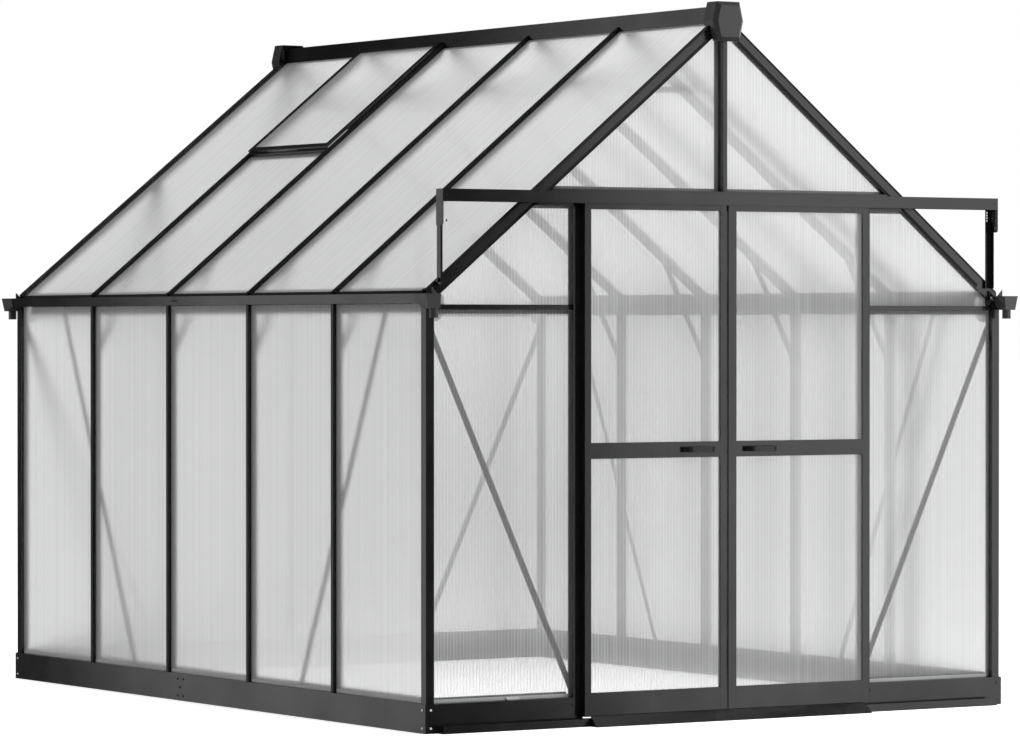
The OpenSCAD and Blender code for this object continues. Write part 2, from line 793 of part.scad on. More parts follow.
module right_wall_sheets() sheet_colour() mirror([1, 0, 0]) wall_sheets();

sheet_top_x = ridge_half_w + sheet_gap;
// The roof sheets end this far inside the bars' ends
sheet_end_in = 3;
sheet_end_x = bar_end_x - sheet_end_in;

// Gap between the vent and the ridge beam
vent_ridge_gap = 2;
// Distances down the slope of the vent's two ends and of the middle of the sill bar
vent_s0 = slope_s(ridge_half_w + vent_ridge_gap);
vent_s1 = vent_s0 + vent_l;
sill_s = vent_s1;
below_sill_x = (sill_s + web_gap) * cos(pitch) - bar_proud * sin(pitch);

module roof_sheets(vent) in_each_bay() across($y0, $y1)
    slope_strip(bar_proud + fit, flange_d - fit, $bay == vent ? below_sill_x : sheet_top_x, sheet_end_x);

module left_roof_sheets() sheet_colour() roof_sheets(vent_bay);

module right_roof_sheets() sheet_colour() mirror([1, 0, 0]) roof_sheets(0);

// A gable sheet between two x and two heights, cut to the rafters
module gable_sheet(x0, x1, z0, z1) across(-half_l + gable_recess, -half_l + flange_v) intersection() {
    translate([x0, z0]) square([x1 - x0, z1 - z0]);
    under_roof(seat_d + sheet_gap);
}

lower_top = transom_z - web_gap;
upper_low = transom_z + web_gap;
upper_top = ridge_low - sheet_gap;
header_mid = header_z + header_h / 2;
post_edge = half_w - seat_d - sheet_gap;
jamb_edge = jamb_in + jamb_web_w + sheet_gap;

module front_sheets() sheet_colour() both_sides() {
    gable_sheet(-post_edge, -jamb_edge, base_h + sheet_gap, lower_top);
    gable_sheet(-rib_end_x, -jamb_edge, upper_low, header_mid - web_gap);
    gable_sheet(-rib_end_x, -web_gap, header_mid + web_gap, upper_top);
}

module rear_sheets() sheet_colour() mirror([0, 1, 0]) both_sides() {
    gable_sheet(-post_edge, -gable_bay - web_gap, base_h + sheet_gap, lower_top);
    gable_sheet(-gable_bay + web_gap, -web_gap, base_h + sheet_gap, lower_top);
    gable_sheet(-rib_end_x, -gable_bay - web_gap, upper_low, upper_top);
    gable_sheet(-gable_bay + web_gap, -web_gap, upper_low, upper_top);
}

/* Roof vent */

// Gap between the vent's edges and the bay lines, and its sheet's height above the bars
vent_gap = 3;
vent_sheet_up = 3;
vent_y0 = frame_ys[vent_bay - 2] + vent_gap;
vent_y1 = frame_ys[vent_bay - 1] - vent_gap;
// The sheet's edges stand this far into grooves in the rails
vent_groove = 8;
vent_sheet_d = -vent_sheet_up - sheet_t;

// Space that the vent's sheet needs
module vent_sheet_space(gap) {
    edge = vent_rail_w - vent_groove;
    along_roof(vent_y0 + edge, vent_y1 - edge)
        translate([vent_sheet_d - gap, vent_s0 + edge]) square([sheet_t + 2 * gap, vent_l - 2 * edge]);
}

module vent_rail(y0, y1, s0, s1) along_roof(y0, y1)
    translate([-vent_h, s0]) square([vent_h - fit, s1 - s0]);

// The lower end of each side rail is relieved, and so is part of the bottom rail
side_relief = [3, 120];
slot_relief = [6, 260];
slot_in = 114;

module vent_side_rails() frame_colour() difference() {
    for (y = [vent_y0, vent_y1 - vent_rail_w]) vent_rail(y, y + vent_rail_w, vent_s0, vent_s1);
    vent_sheet_space(fit);
    along_roof(vent_y0 - bite, vent_y1 + bite)
        translate([-side_relief.x, vent_s1 - side_relief.y]) square(side_relief + [bite, bite]);
}

module vent_cross_rails() frame_colour() difference() {
    for (s = [vent_s0, vent_s1 - vent_rail_w])
        vent_rail(vent_y0 + vent_rail_w, vent_y1 - vent_rail_w, s, s + vent_rail_w);
    vent_sheet_space(fit);
    along_roof(vent_y1 - slot_in - slot_relief.y, vent_y1 - slot_in)
        translate([-slot_relief.x, vent_s1 - vent_rail_w - bite])
            square([slot_relief.x + bite, vent_rail_w + 2 * bite]);
}

module vent_sheet() sheet_colour() vent_sheet_space(0);

// The sill is a glazing bar laid across the bay under the vent's lower edge
module vent_sill() frame_colour() {
    along_roof(vent_y0 - vent_gap + bar_head_w / 2, vent_y1 + vent_gap - bar_head_w / 2)
        translate([0, sill_s]) bar_head(fit, bar_proud);
    along_roof(vent_y0 - vent_gap + bar_flange_w / 2, vent_y1 + vent_gap - bar_flange_w / 2)
        translate([0, sill_s]) bar_flange(flange_d);
}

/* Braces */

// A flat bar with round ends and bolt holes between two points of an outline
module flat_brace(p, q) {
    run = q - p;
    length = norm(run);
    translate(p) rotate(atan2(run.y, run.x)) difference() {
        union() {
            translate([0, -brace_w / 2]) square([length, brace_w]);
            circle(d = brace_w);
            translate([length, 0]) circle(d = brace_w);
        }
        circle(d = bolt_d);
        translate([length, 0]) circle(d = bolt_d);
    }
}

// Bolts a plate drawn as x against height to the rear side of each frame's bolt channels
module on_each_frame() for (y = frame_ys)
    across(y + rib_w / 2, y + rib_w / 2 + brace_t) children();

knee_z = eave_z - knee_drop;
knee_x = half_w - knee_in;

module knee_braces() frame_colour() both_sides() on_each_frame()
    flat_brace([-half_w + brace_d, knee_z], [-knee_x, roof_z(knee_x, brace_d)]);

collar_z = apex_z - collar_drop;
collar_x = roof_x(collar_z, brace_d);

module collar_ties() frame_colour() on_each_frame() flat_brace([-collar_x, collar_z], [collar_x, collar_z]);

// Ends of the wall braces, from the post's face and from the eave and the base
wall_brace_top = [335, 31];
wall_brace_low = [920, 10];

module wall_braces() frame_colour() both_ends() both_sides()
    translate([-gutter_in, 0, 0]) rotate([90, 0, 90]) linear_extrude(brace_t) flat_brace(
        [-half_l + wall_brace_top.x, eave_z - wall_brace_top.y],
        [-half_l + wall_brace_low.x, base_h + wall_brace_low.y]
    );

// Ends of the gable braces, from the eave, from the base and from the door jamb's outer edge
gable_brace_drop = 87;
gable_brace_up = 26;
gable_brace_in = 14;

// A gable brace runs from the corner post's inner lip down to a distance from the middle
module gable_brace(x) across(-half_l + inner_v, -half_l + inner_v + brace_t)
    flat_brace([-half_w + brace_d, eave_z - gable_brace_drop], [-x, base_h + gable_brace_up]);

module gable_braces() frame_colour() both_sides() {
    gable_brace(jamb_out - gable_brace_in);
    mirror([0, 1, 0]) gable_brace(gable_bay + rib_w / 2 + brace_w / 2 + brace_gap);
}

/* Door rail, track and threshold */

// The ledge that the rollers run on: its height above the leaf and how far it reaches from the back wall
ledge_gap = 8;
ledge_out = 11;
ledge_z = leaf_z1 + ledge_gap;

// Section of the top rail, as depth against height
module rail_section() translate([-rail_d, rail_z]) {
    square([rail_wall, rail_h]);
    translate([0, rail_h - rail_wall]) square([rail_d, rail_wall]);
    translate([rail_d - rail_wall, 0]) square([rail_wall, rail_h]);
    translate([rail_d - rail_wall - ledge_out, ledge_z - rail_z]) square([ledge_out + bite, rail_wall]);
}

module door_rail() frame_colour() along_front(-rail_half, rail_half) rail_section();

end_plate_t = 3;
end_plate_h = 124;
end_plate_r = 10;

// An end plate has one rounded corner, at the bottom of its front edge
module rail_end_plate() along_front(-rail_half - end_plate_t, -rail_half)
    translate([-rail_d, rail_z + rail_h - end_plate_h]) {
        translate([0, end_plate_r]) square([rail_d, end_plate_h - end_plate_r]);
        translate([end_plate_r, 0]) square([rail_d - end_plate_r, end_plate_r + bite]);
        translate([end_plate_r, end_plate_r]) circle(r = end_plate_r);
    }

module rail_end_plates() frame_colour() both_sides() rail_end_plate();

// A strut is an angle that stands on the rafter's foot and carries the end of the rail
strut_t = 2;
strut_x = 22;
strut_y = 24;
strut_foot_up = 61;
strut_foot_z = eave_z + strut_foot_up;
// The slots in the strut's back leg: their size, number and pitch, and where the first one starts
slot_size = [5, 6];
slot_count = 4;
slot_pitch = 9.6;
slot_start = [10, 13];
// The spacer between the strut's foot and the rafter
foot_d = 12;
foot_up = 9;

module rail_strut() {
    difference() {
        translate([-rail_half, -half_l - strut_y, strut_foot_z]) linear_extrude(rail_z - strut_foot_z) {
            square([strut_t, strut_y]);
            translate([0, strut_y - strut_t]) square([strut_x, strut_t]);
        }
        for (i = [0:slot_count - 1])
            translate([-rail_half + strut_x - slot_start.x, -half_l - strut_y,
                rail_z - slot_start.y - i * slot_pitch])
                cube([slot_size.x, strut_y + bite, slot_size.y]);
    }
    translate([-rail_half + strut_x / 2, -half_l + rafter_v, strut_foot_z + foot_up])
        rotate([90, 0, 0]) cylinder(d = foot_d, h = rafter_v + strut_t / 2);
}

module rail_struts() frame_colour() both_sides() rail_strut();

track_d = rail_d - base_ledge;

module door_track() frame_colour() along_front(-rail_half, rail_half) translate([-rail_d, 0]) {
    square([track_d, rail_wall]);
    square([rail_wall, track_h]);
    translate([track_d - rail_wall, 0]) square([rail_wall, track_h]);
}

// The threshold is a folded ramp with a closed gusset at each end
ramp_gap = 8;
ramp_half = jamb_in - ramp_gap;
ramp_l = 42;
ramp_h = 36;
ramp_t = 3;

module door_threshold() frame_colour() {
    along_front(-ramp_half, ramp_half) translate([-rail_d, 0]) polygon([
        [0, 0], [0, ramp_h], [-ramp_l, 0], [-ramp_l + 2 * ramp_t, 0],
        [-ramp_t, ramp_h - 2 * ramp_t], [-ramp_t, 0]
    ]);
    both_sides() along_front(-ramp_half, -ramp_half + ramp_t) translate([-rail_d, 0])
        polygon([[0, 0], [0, ramp_h], [-ramp_l, 0]]);
}

/* Door leaves: a leaf's sheets sit in grooves in its stiles and rails */

groove_d = 8;
leaf_sheet_y = leaf_front_y + (leaf_t - sheet_t) / 2;
// Bottom and top of the leaf's lower and upper openings
lower_z = [leaf_z0 + bottom_rail_h, mid_rail_z - mid_rail_h / 2];
upper_z = [mid_rail_z + mid_rail_h / 2, leaf_z1 - top_rail_h];

// A stile from x0 to x1, grooved on its right side when side is 1 and on its left side when it is -1
module stile(x0, x1, side) difference() {
    translate([x0, leaf_front_y, leaf_z0]) cube([x1 - x0, leaf_t, leaf_z1 - leaf_z0]);
    translate([side > 0 ? x1 - groove_d : x0 - bite, leaf_sheet_y, leaf_z0 - bite])
        cube([groove_d + bite, sheet_t, leaf_z1 - leaf_z0 + 2 * bite]);
}

// The three rails of a leaf, grooved where they face its openings
module leaf_rails(x0, x1) difference() {
    for (z = [[leaf_z0, lower_z[0]], [lower_z[1], upper_z[0]], [upper_z[1], leaf_z1]])
        translate([x0, leaf_front_y, z[0]]) cube([x1 - x0, leaf_t, z[1] - z[0]]);
    for (z = [lower_z, upper_z])
        translate([x0 - bite, leaf_sheet_y, z[0] - groove_d])
            cube([x1 - x0 + 2 * bite, sheet_t, z[1] - z[0] + 2 * groove_d]);
}

module leaf_sheets(x0, x1) for (z = [lower_z, upper_z]) {
    reach = groove_d - sheet_gap;
    translate([x0 - reach, leaf_sheet_y, z[0] - reach])
        cube([x1 - x0 + 2 * reach, sheet_t, z[1] - z[0] + 2 * reach]);
}

handle_t = 6;

// Plan of a bow handle: a straight grip between two quarter rounds
module bow(r, half_l) {
    for (x = [-half_l, half_l]) translate([x, 0]) circle(r = r);
    translate([-half_l, -r]) square([2 * half_l, r]);
}

module handle(x) translate([x, leaf_front_y, mid_rail_z - handle_h / 2]) linear_extrude(handle_h)
    difference() {
        bow(handle_out, handle_l / 2 - handle_out);
        bow(handle_out - handle_t, handle_l / 2 - handle_out);
        translate([-handle_l, 0]) square([2 * handle_l, handle_l]);
    }

// A hanger behind the leaf's top rail carries a roller on an axle
hanger_w = 24;
hanger_t = 3;
hanger_over = 4;
axle_r = 3;
roller_w = 5.5;
roller_z = ledge_z + rail_wall + roller_gap + roller_r;
// Gap between a roller and the rail's back wall
roller_clear = 3.5;
roller_y = -half_l - rail_wall - roller_clear;

module runner(x) {
    translate([x - hanger_w / 2, leaf_back_y - hanger_t, leaf_z1])
        cube([hanger_w, hanger_t, roller_z + hanger_over - leaf_z1]);
    translate([x, roller_y, roller_z]) rotate([90, 0, 0]) {
        cylinder(r = axle_r, h = roller_y - leaf_back_y + hanger_t / 2);
        cylinder(r = roller_r, h = roller_w);
    }
}

// A nylon guide under the leaf runs inside the bottom track
guide_l = 40;
guide_in = 1;
guide_z = rail_wall + run_gap;

module guide(x) translate([x - guide_l / 2, leaf_front_y + guide_in, guide_z])
    cube([guide_l, leaf_t - 2 * guide_in, leaf_z0 - guide_z]);

runner_in = 60;

module runners(x0, x1) for (x = [x0 + runner_in, x1 - runner_in]) {
    runner(x);
    guide(x);
}

left_open = [-leaf_out + stile_w, -left_leaf_in - stile_w];
right_open = [-right_leaf_in + stile_w + lip_w, leaf_out - stile_w];

module left_door_stiles() door_colour() {
    stile(-leaf_out, left_open[0], 1);
    stile(left_open[1], -left_leaf_in, -1);
}

module left_door_rails() door_colour() leaf_rails(left_open[0], left_open[1]);

module left_door_sheets() sheet_colour() leaf_sheets(left_open[0], left_open[1]);

module left_door_handle() cap_colour() handle(-left_leaf_in - handle_in);

module left_door_runners() door_colour() runners(-leaf_out, -left_leaf_in);

module right_door_stiles() door_colour() {
    stile(-right_leaf_in, right_open[0], 1);
    stile(right_open[1], leaf_out, -1);
}

module right_door_rails() door_colour() leaf_rails(right_open[0], right_open[1]);

module right_door_sheets() sheet_colour() leaf_sheets(right_open[0], right_open[1]);

module right_door_handle() cap_colour() handle(-right_leaf_in + lip_w + handle_in);

module right_door_runners() door_colour() runners(-right_leaf_in, leaf_out);

base_front();
base_rear();
base_left();
base_right();
door_threshold();
door_track();
corner_posts();
left_wall_bars();
right_wall_bars();
left_roof_bars();
right_roof_bars();
knee_braces();
collar_ties();
wall_braces();
gable_braces();
splice_plates();
apex_plates();
eave_plates();
left_gutter();
right_gutter();
gutter_caps();
ridge_beam();
ridge_caps();
front_rafters();
rear_rafters();
front_header();
front_centre_bar();
door_jambs();
front_transoms();
rear_posts();
rear_transoms();
left_wall_sheets();
right_wall_sheets();
left_roof_sheets();
right_roof_sheets();
front_sheets();
rear_sheets();
vent_side_rails();
vent_cross_rails();
vent_sheet();
vent_sill();
door_rail();
rail_end_plates();
rail_struts();
left_door_stiles();
left_door_rails();
left_door_sheets();
left_door_handle();
left_door_runners();
right_door_stiles();
right_door_rails();
right_door_sheets();
right_door_handle();
right_door_runners();
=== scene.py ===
"""Looks of a walk-in polycarbonate greenhouse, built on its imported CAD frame. Metres throughout."""
import math

import bpy
from mathutils import Matrix, Vector


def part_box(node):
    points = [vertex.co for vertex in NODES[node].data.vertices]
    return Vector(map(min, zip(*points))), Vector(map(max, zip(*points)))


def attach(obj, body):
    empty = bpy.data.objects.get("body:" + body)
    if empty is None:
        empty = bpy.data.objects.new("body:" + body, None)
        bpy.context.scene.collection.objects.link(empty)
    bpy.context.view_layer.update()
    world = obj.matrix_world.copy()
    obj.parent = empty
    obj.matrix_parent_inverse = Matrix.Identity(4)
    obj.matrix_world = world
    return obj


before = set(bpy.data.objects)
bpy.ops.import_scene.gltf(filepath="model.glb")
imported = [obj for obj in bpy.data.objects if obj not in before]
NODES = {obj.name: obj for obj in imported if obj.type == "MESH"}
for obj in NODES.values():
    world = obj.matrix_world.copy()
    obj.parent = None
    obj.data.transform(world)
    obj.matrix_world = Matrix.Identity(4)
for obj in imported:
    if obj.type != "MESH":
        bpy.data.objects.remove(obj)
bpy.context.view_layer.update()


# ---------------------------------------------------------------- camera

SENSOR_MM, LENS_MM = 36.0, 169.64
EYE = (-9.6767, -15.4805, 1.3726)
DIP_DEG, TURN_DEG = 0.461, -32.241


def add_camera():
    """A long lens at eye height, off the left front corner, as a catalogue picture is taken."""
    lens = bpy.data.cameras.new("long_lens")
    lens.sensor_width = SENSOR_MM
    lens.lens = LENS_MM
    lens.clip_end = 200.0
    camera = bpy.data.objects.new("long_lens", lens)
    camera.location = EYE
    camera.rotation_euler = (math.radians(90 - DIP_DEG), 0, math.radians(TURN_DEG))
    bpy.context.scene.collection.objects.link(camera)
    bpy.context.scene.camera = camera


# ---------------------------------------------------------------- node helpers

def group_node(name, inputs, outputs):
    """An empty shader node group with float, colour or vector sockets."""
    kinds = {"value": "NodeSocketFloat", "colour": "NodeSocketColor", "vector": "NodeSocketVector"}
    tree = bpy.data.node_groups.new(name, "ShaderNodeTree")
    for label, kind, start in inputs:
        socket = tree.interface.new_socket(name=label, in_out="INPUT", socket_type=kinds[kind])
        socket.default_value = start
    for label, kind in outputs:
        tree.interface.new_socket(name=label, in_out="OUTPUT", socket_type=kinds[kind])
    return tree, tree.nodes.new("NodeGroupInput"), tree.nodes.new("NodeGroupOutput")


def feed(tree, socket, value):
    """Links an output to the socket, or sets the socket to a number or colour."""
    if isinstance(value, bpy.types.NodeSocket):
        tree.links.new(value, socket)
    else:
        socket.default_value = value


def add(tree, kind, **sockets):
    """Adds a node and feeds its inputs, given by name, or as i0, i1 where names repeat."""
    node = tree.nodes.new("ShaderNode" + kind)
    for key, value in sockets.items():
        numbered = key[0] == "i" and key[1:].isdigit()
        feed(tree, node.inputs[int(key[1:])] if numbered else node.inputs[key], value)
    return node


def maths(tree, operation, a, b=0.0, clamp=False):
    node = add(tree, "Math", i0=a, i1=b)
    node.operation = operation
    node.use_clamp = clamp
    return node.outputs[0]


def remap(tree, value, low, high, start, end):
    node = add(tree, "MapRange", i0=value, i1=low, i2=high, i3=start, i4=end)
    return node.outputs[0]


def blend_colours(tree, share, first, second):
    node = tree.nodes.new("ShaderNodeMix")
    node.data_type = "RGBA"
    for number, value in ((0, share), (6, first), (7, second)):
        feed(tree, node.inputs[number], value)
    return node.outputs[2]


def new_material(name):
    material = bpy.data.materials.new(name)
    material.use_nodes = True
    tree = material.node_tree
    return material, tree, tree.nodes["Principled BSDF"]


# ---------------------------------------------------------------- studio

WHITE = (1, 1, 1, 1)
ROOM_TO_EYE, ROOM_TO_MATT, ROOM_TO_GLOSS = 1.0, 0.5, 0.035
FLOOR_SIZE, FLOOR_DROP, FLOOR_GLOW = 400, 0.001, 0.58


def light_room():
    """White all round to the eye and through the sheets, even soft light on matt surfaces, and a dark room
    for gloss, so that the dark metal shows the soft boxes and little else."""
    world = bpy.data.worlds.new("studio")
    bpy.context.scene.world = world
    world.use_nodes = True
    tree = world.node_tree
    tree.nodes.clear()
    out = tree.nodes.new("ShaderNodeOutputWorld")
    white = add(tree, "Background", Color=WHITE, Strength=ROOM_TO_EYE)
    room = add(tree, "Background", Color=WHITE, Strength=ROOM_TO_MATT)
    dark = add(tree, "Background", Color=WHITE, Strength=ROOM_TO_GLOSS)
    path = tree.nodes.new("ShaderNodeLightPath")
    direct = maths(tree, "MAXIMUM", path.outputs["Is Camera Ray"], path.outputs["Is Transmission Ray"])
    indirect = add(tree, "MixShader", i0=path.outputs["Is Glossy Ray"],
                   i1=room.outputs[0], i2=dark.outputs[0])
    both = add(tree, "MixShader", i0=direct, i1=indirect.outputs[0], i2=white.outputs[0])
    tree.links.new(both.outputs[0], out.inputs["Surface"])


def add_softbox(name, place, aim, size, power, mirrored=True):
    """An area lamp aimed at a point. One that isn't mirrored gives light but doesn't show in gloss."""
    lamp = bpy.data.lights.new(name, "AREA")
    lamp.shape = "RECTANGLE"
    lamp.size, lamp.size_y = size
    lamp.energy = power
    holder = bpy.data.objects.new(name, lamp)
    holder.location = place
    holder.rotation_euler = (Vector(aim) - Vector(place)).to_track_quat("-Z", "Y").to_euler()
    holder.visible_glossy = mirrored
    holder.visible_camera = False
    holder.visible_transmission = False
    bpy.context.scene.collection.objects.link(holder)


def lay_floor():
    """A wide pale floor, white to the eye where no shadow falls, and not seen in gloss."""
    bpy.ops.object.select_all(action="DESELECT")
    bpy.ops.mesh.primitive_plane_add(size=FLOOR_SIZE, location=(0, 0, -FLOOR_DROP))
    floor = bpy.context.object
    floor.name = "studio_floor"
    material, tree, shader = new_material("studio_floor")
    shader.inputs["Base Color"].default_value = (0.9, 0.9, 0.9, 1)
    shader.inputs["Roughness"].default_value = 0.9
    shader.inputs["Specular IOR Level"].default_value = 0.0
    path = tree.nodes.new("ShaderNodeLightPath")
    glow = add(tree, "Emission", Color=WHITE, Strength=FLOOR_GLOW)
    none = add(tree, "Emission", Color=(0, 0, 0, 1), Strength=0.0)
    extra = add(tree, "MixShader", i0=path.outputs["Is Camera Ray"],
                i1=none.outputs[0], i2=glow.outputs[0])
    total = add(tree, "AddShader", i0=shader.outputs[0], i1=extra.outputs[0])
    tree.links.new(total.outputs[0], tree.nodes["Material Output"].inputs["Surface"])
    floor.data.materials.append(material)
    floor.visible_glossy = False


# ---------------------------------------------------------------- shared effects

def build_grain():
    """Fine grain, slow mottling and settled dust, from a point on the object."""
    tree, given, out = group_node(
        "coat_grain",
        (("Place", "vector", (0, 0, 0)), ("Grain Scale", "value", 900.0), ("Dust", "value", 0.3)),
        (("Height", "value"), ("Mottle", "value"), ("Dust", "value")))
    place = given.outputs["Place"]
    fine = add(tree, "TexNoise", Vector=place, Scale=given.outputs["Grain Scale"], Detail=1.0)
    slow = add(tree, "TexNoise", Vector=place, Scale=4.0, Detail=4.0, Roughness=0.6)
    streak = add(tree, "TexNoise", Vector=place, Scale=38.0, Detail=3.0)
    up = add(tree, "SeparateXYZ", Vector=tree.nodes.new("ShaderNodeNewGeometry").outputs["Normal"])
    level = remap(tree, up.outputs["Z"], 0.45, 0.95, 0.0, 1.0)
    patch = remap(tree, streak.outputs[0], 0.38, 0.66, 0.25, 1.0)
    dust = maths(tree, "MULTIPLY", maths(tree, "MULTIPLY", level, patch), given.outputs["Dust"], clamp=True)
    tree.links.new(fine.outputs[0], out.inputs["Height"])
    tree.links.new(slow.outputs[0], out.inputs["Mottle"])
    tree.links.new(dust, out.inputs["Dust"])
    return tree


def build_edges():
    """Lighter edges, partly worn and partly a painted highlight: strong where a rounded normal leaves the
    flat one, broken up by noise.
    """
    tree, given, out = group_node(
        "edge_wear_and_highlight",
        (("Place", "vector", (0, 0, 0)), ("Radius", "value", 0.0008), ("Wear", "value", 0.4)),
        (("Mask", "value"), ("Normal", "vector")))
    round_edge = add(tree, "Bevel", Radius=given.outputs["Radius"])
    round_edge.samples = 4
    flat = tree.nodes.new("ShaderNodeNewGeometry").outputs["Normal"]
    same = add(tree, "VectorMath", i0=round_edge.outputs[0], i1=flat)
    same.operation = "DOT_PRODUCT"
    edge = remap(tree, same.outputs["Value"], 0.99, 0.80, 0.0, 1.0)
    broken = add(tree, "TexNoise", Vector=given.outputs["Place"], Scale=60.0, Detail=3.0)
    wear_and_highlight = maths(tree, "MULTIPLY", edge, remap(tree, broken.outputs[0], 0.42, 0.62, 0.15, 1.0))
    tree.links.new(maths(tree, "MULTIPLY", wear_and_highlight, given.outputs["Wear"], clamp=True), out.inputs["Mask"])
    tree.links.new(round_edge.outputs[0], out.inputs["Normal"])
    return tree


def build_ribs():
    """Webs of a twin-wall sheet. Cover is the share of the pitch that the webs hide, seen at a slant."""
    tree, given, out = group_node(
        "sheet_ribs",
        (("Distance", "value", 0.0), ("Pitch", "value", RIB_PITCH), ("Cover", "value", 0.3)),
        (("Web", "value"), ("Height", "value")))
    turns = maths(tree, "DIVIDE", given.outputs["Distance"], given.outputs["Pitch"])
    share = maths(tree, "FRACT", turns)
    apart = maths(tree, "MULTIPLY", maths(tree, "ABSOLUTE", maths(tree, "SUBTRACT", share, 0.5)), 2.0)
    into = maths(tree, "SUBTRACT", given.outputs["Cover"], apart)
    web = remap(tree, into, -0.08, 0.08, 0.0, 1.0)
    swell = maths(tree, "COSINE", maths(tree, "MULTIPLY", turns, 2 * math.pi))
    tree.links.new(web, out.inputs["Web"])
    tree.links.new(swell, out.inputs["Height"])
    return tree


# ---------------------------------------------------------------- finishes

RIB_PITCH = 0.0129
DUST_TINT = (0.07, 0.068, 0.064, 1)
EDGE_RADIUS = 0.0009
# The sheets' tints and the Facing of a gable sheet and a roof sheet, seen from eye height. Towards a slant
# the tint grows paler, partly the milkier webs and partly a painted sheen.
SQUARE_ON, SLANTED = 0.15, 0.62
TINTS_SQUARE_ON = ((0.63, 0.635, 0.635, 1), (0.68, 0.685, 0.685, 1))
TINTS_SLANTED_WITH_SHEEN = ((0.89, 0.892, 0.892, 1), (0.935, 0.937, 0.937, 1))
BACK_COVER = 0.05
SHADE_LET_THROUGH = (0.92, 0.92, 0.92, 1)


def use_group(tree, group, **sockets):
    node = tree.nodes.new("ShaderNodeGroup")
    node.node_tree = group
    for key, value in sockets.items():
        feed(tree, node.inputs[key.replace("_", " ")], value)
    return node


def coat(name, colour, wear_and_highlight, rough, specular, grain, bump, dust=0.25, edge_lighten=0.5):
    """Powder coat or moulded plastic: mottled colour, grain, dust on top, and edges lighter, partly rubbed
    and partly a painted highlight.
    """
    material, tree, shader = new_material(name)
    shader.inputs["Specular IOR Level"].default_value = specular
    place = tree.nodes.new("ShaderNodeTexCoord").outputs["Object"]
    skin = use_group(tree, GRAIN, Place=place, Grain_Scale=grain, Dust=dust)
    edges = use_group(tree, EDGES, Place=place, Radius=EDGE_RADIUS, Wear=edge_lighten)
    dark = tuple(0.8 * c for c in colour)
    mottle = remap(tree, skin.outputs["Mottle"], 0.3, 0.7, 0.0, 1.0)
    base = blend_colours(tree, mottle, (*dark, 1), (*colour, 1))
    # Edges blend to the lighter colour: partly wear, partly a painted highlight.
    base = blend_colours(tree, edges.outputs["Mask"], base, (*wear_and_highlight, 1))
    base = blend_colours(tree, skin.outputs["Dust"], base, DUST_TINT)
    tree.links.new(base, shader.inputs["Base Color"])
    smooth = remap(tree, skin.outputs["Mottle"], 0.3, 0.7, rough - 0.05, rough + 0.05)
    tree.links.new(maths(tree, "ADD", smooth, maths(tree, "MULTIPLY", skin.outputs["Dust"], 0.3)),
                   shader.inputs["Roughness"])
    rise = add(tree, "Bump", Strength=bump, Distance=0.0004, Height=skin.outputs["Height"],
               Normal=edges.outputs["Normal"])
    tree.links.new(rise.outputs[0], shader.inputs["Normal"])
    return material


def zinc(name, colour, rough, metal):
    """Plated steel: bright metal with cloudy patches and fine scratches in its gloss."""
    material, tree, shader = new_material(name)
    shader.inputs["Metallic"].default_value = metal
    place = tree.nodes.new("ShaderNodeTexCoord").outputs["Object"]
    skin = use_group(tree, GRAIN, Place=place, Grain_Scale=1500.0, Dust=0.1)
    cloud = remap(tree, skin.outputs["Mottle"], 0.3, 0.7, 0.0, 1.0)
    base = blend_colours(tree, cloud, (*(0.8 * c for c in colour), 1), (*colour, 1))
    tree.links.new(blend_colours(tree, skin.outputs["Dust"], base, DUST_TINT), shader.inputs["Base Color"])
    tree.links.new(remap(tree, skin.outputs["Height"], 0.3, 0.7, rough - 0.06, rough + 0.08),
                   shader.inputs["Roughness"])
    rise = add(tree, "Bump", Strength=0.15, Distance=0.0002, Height=skin.outputs["Height"])
    tree.links.new(rise.outputs[0], shader.inputs["Normal"])
    return material


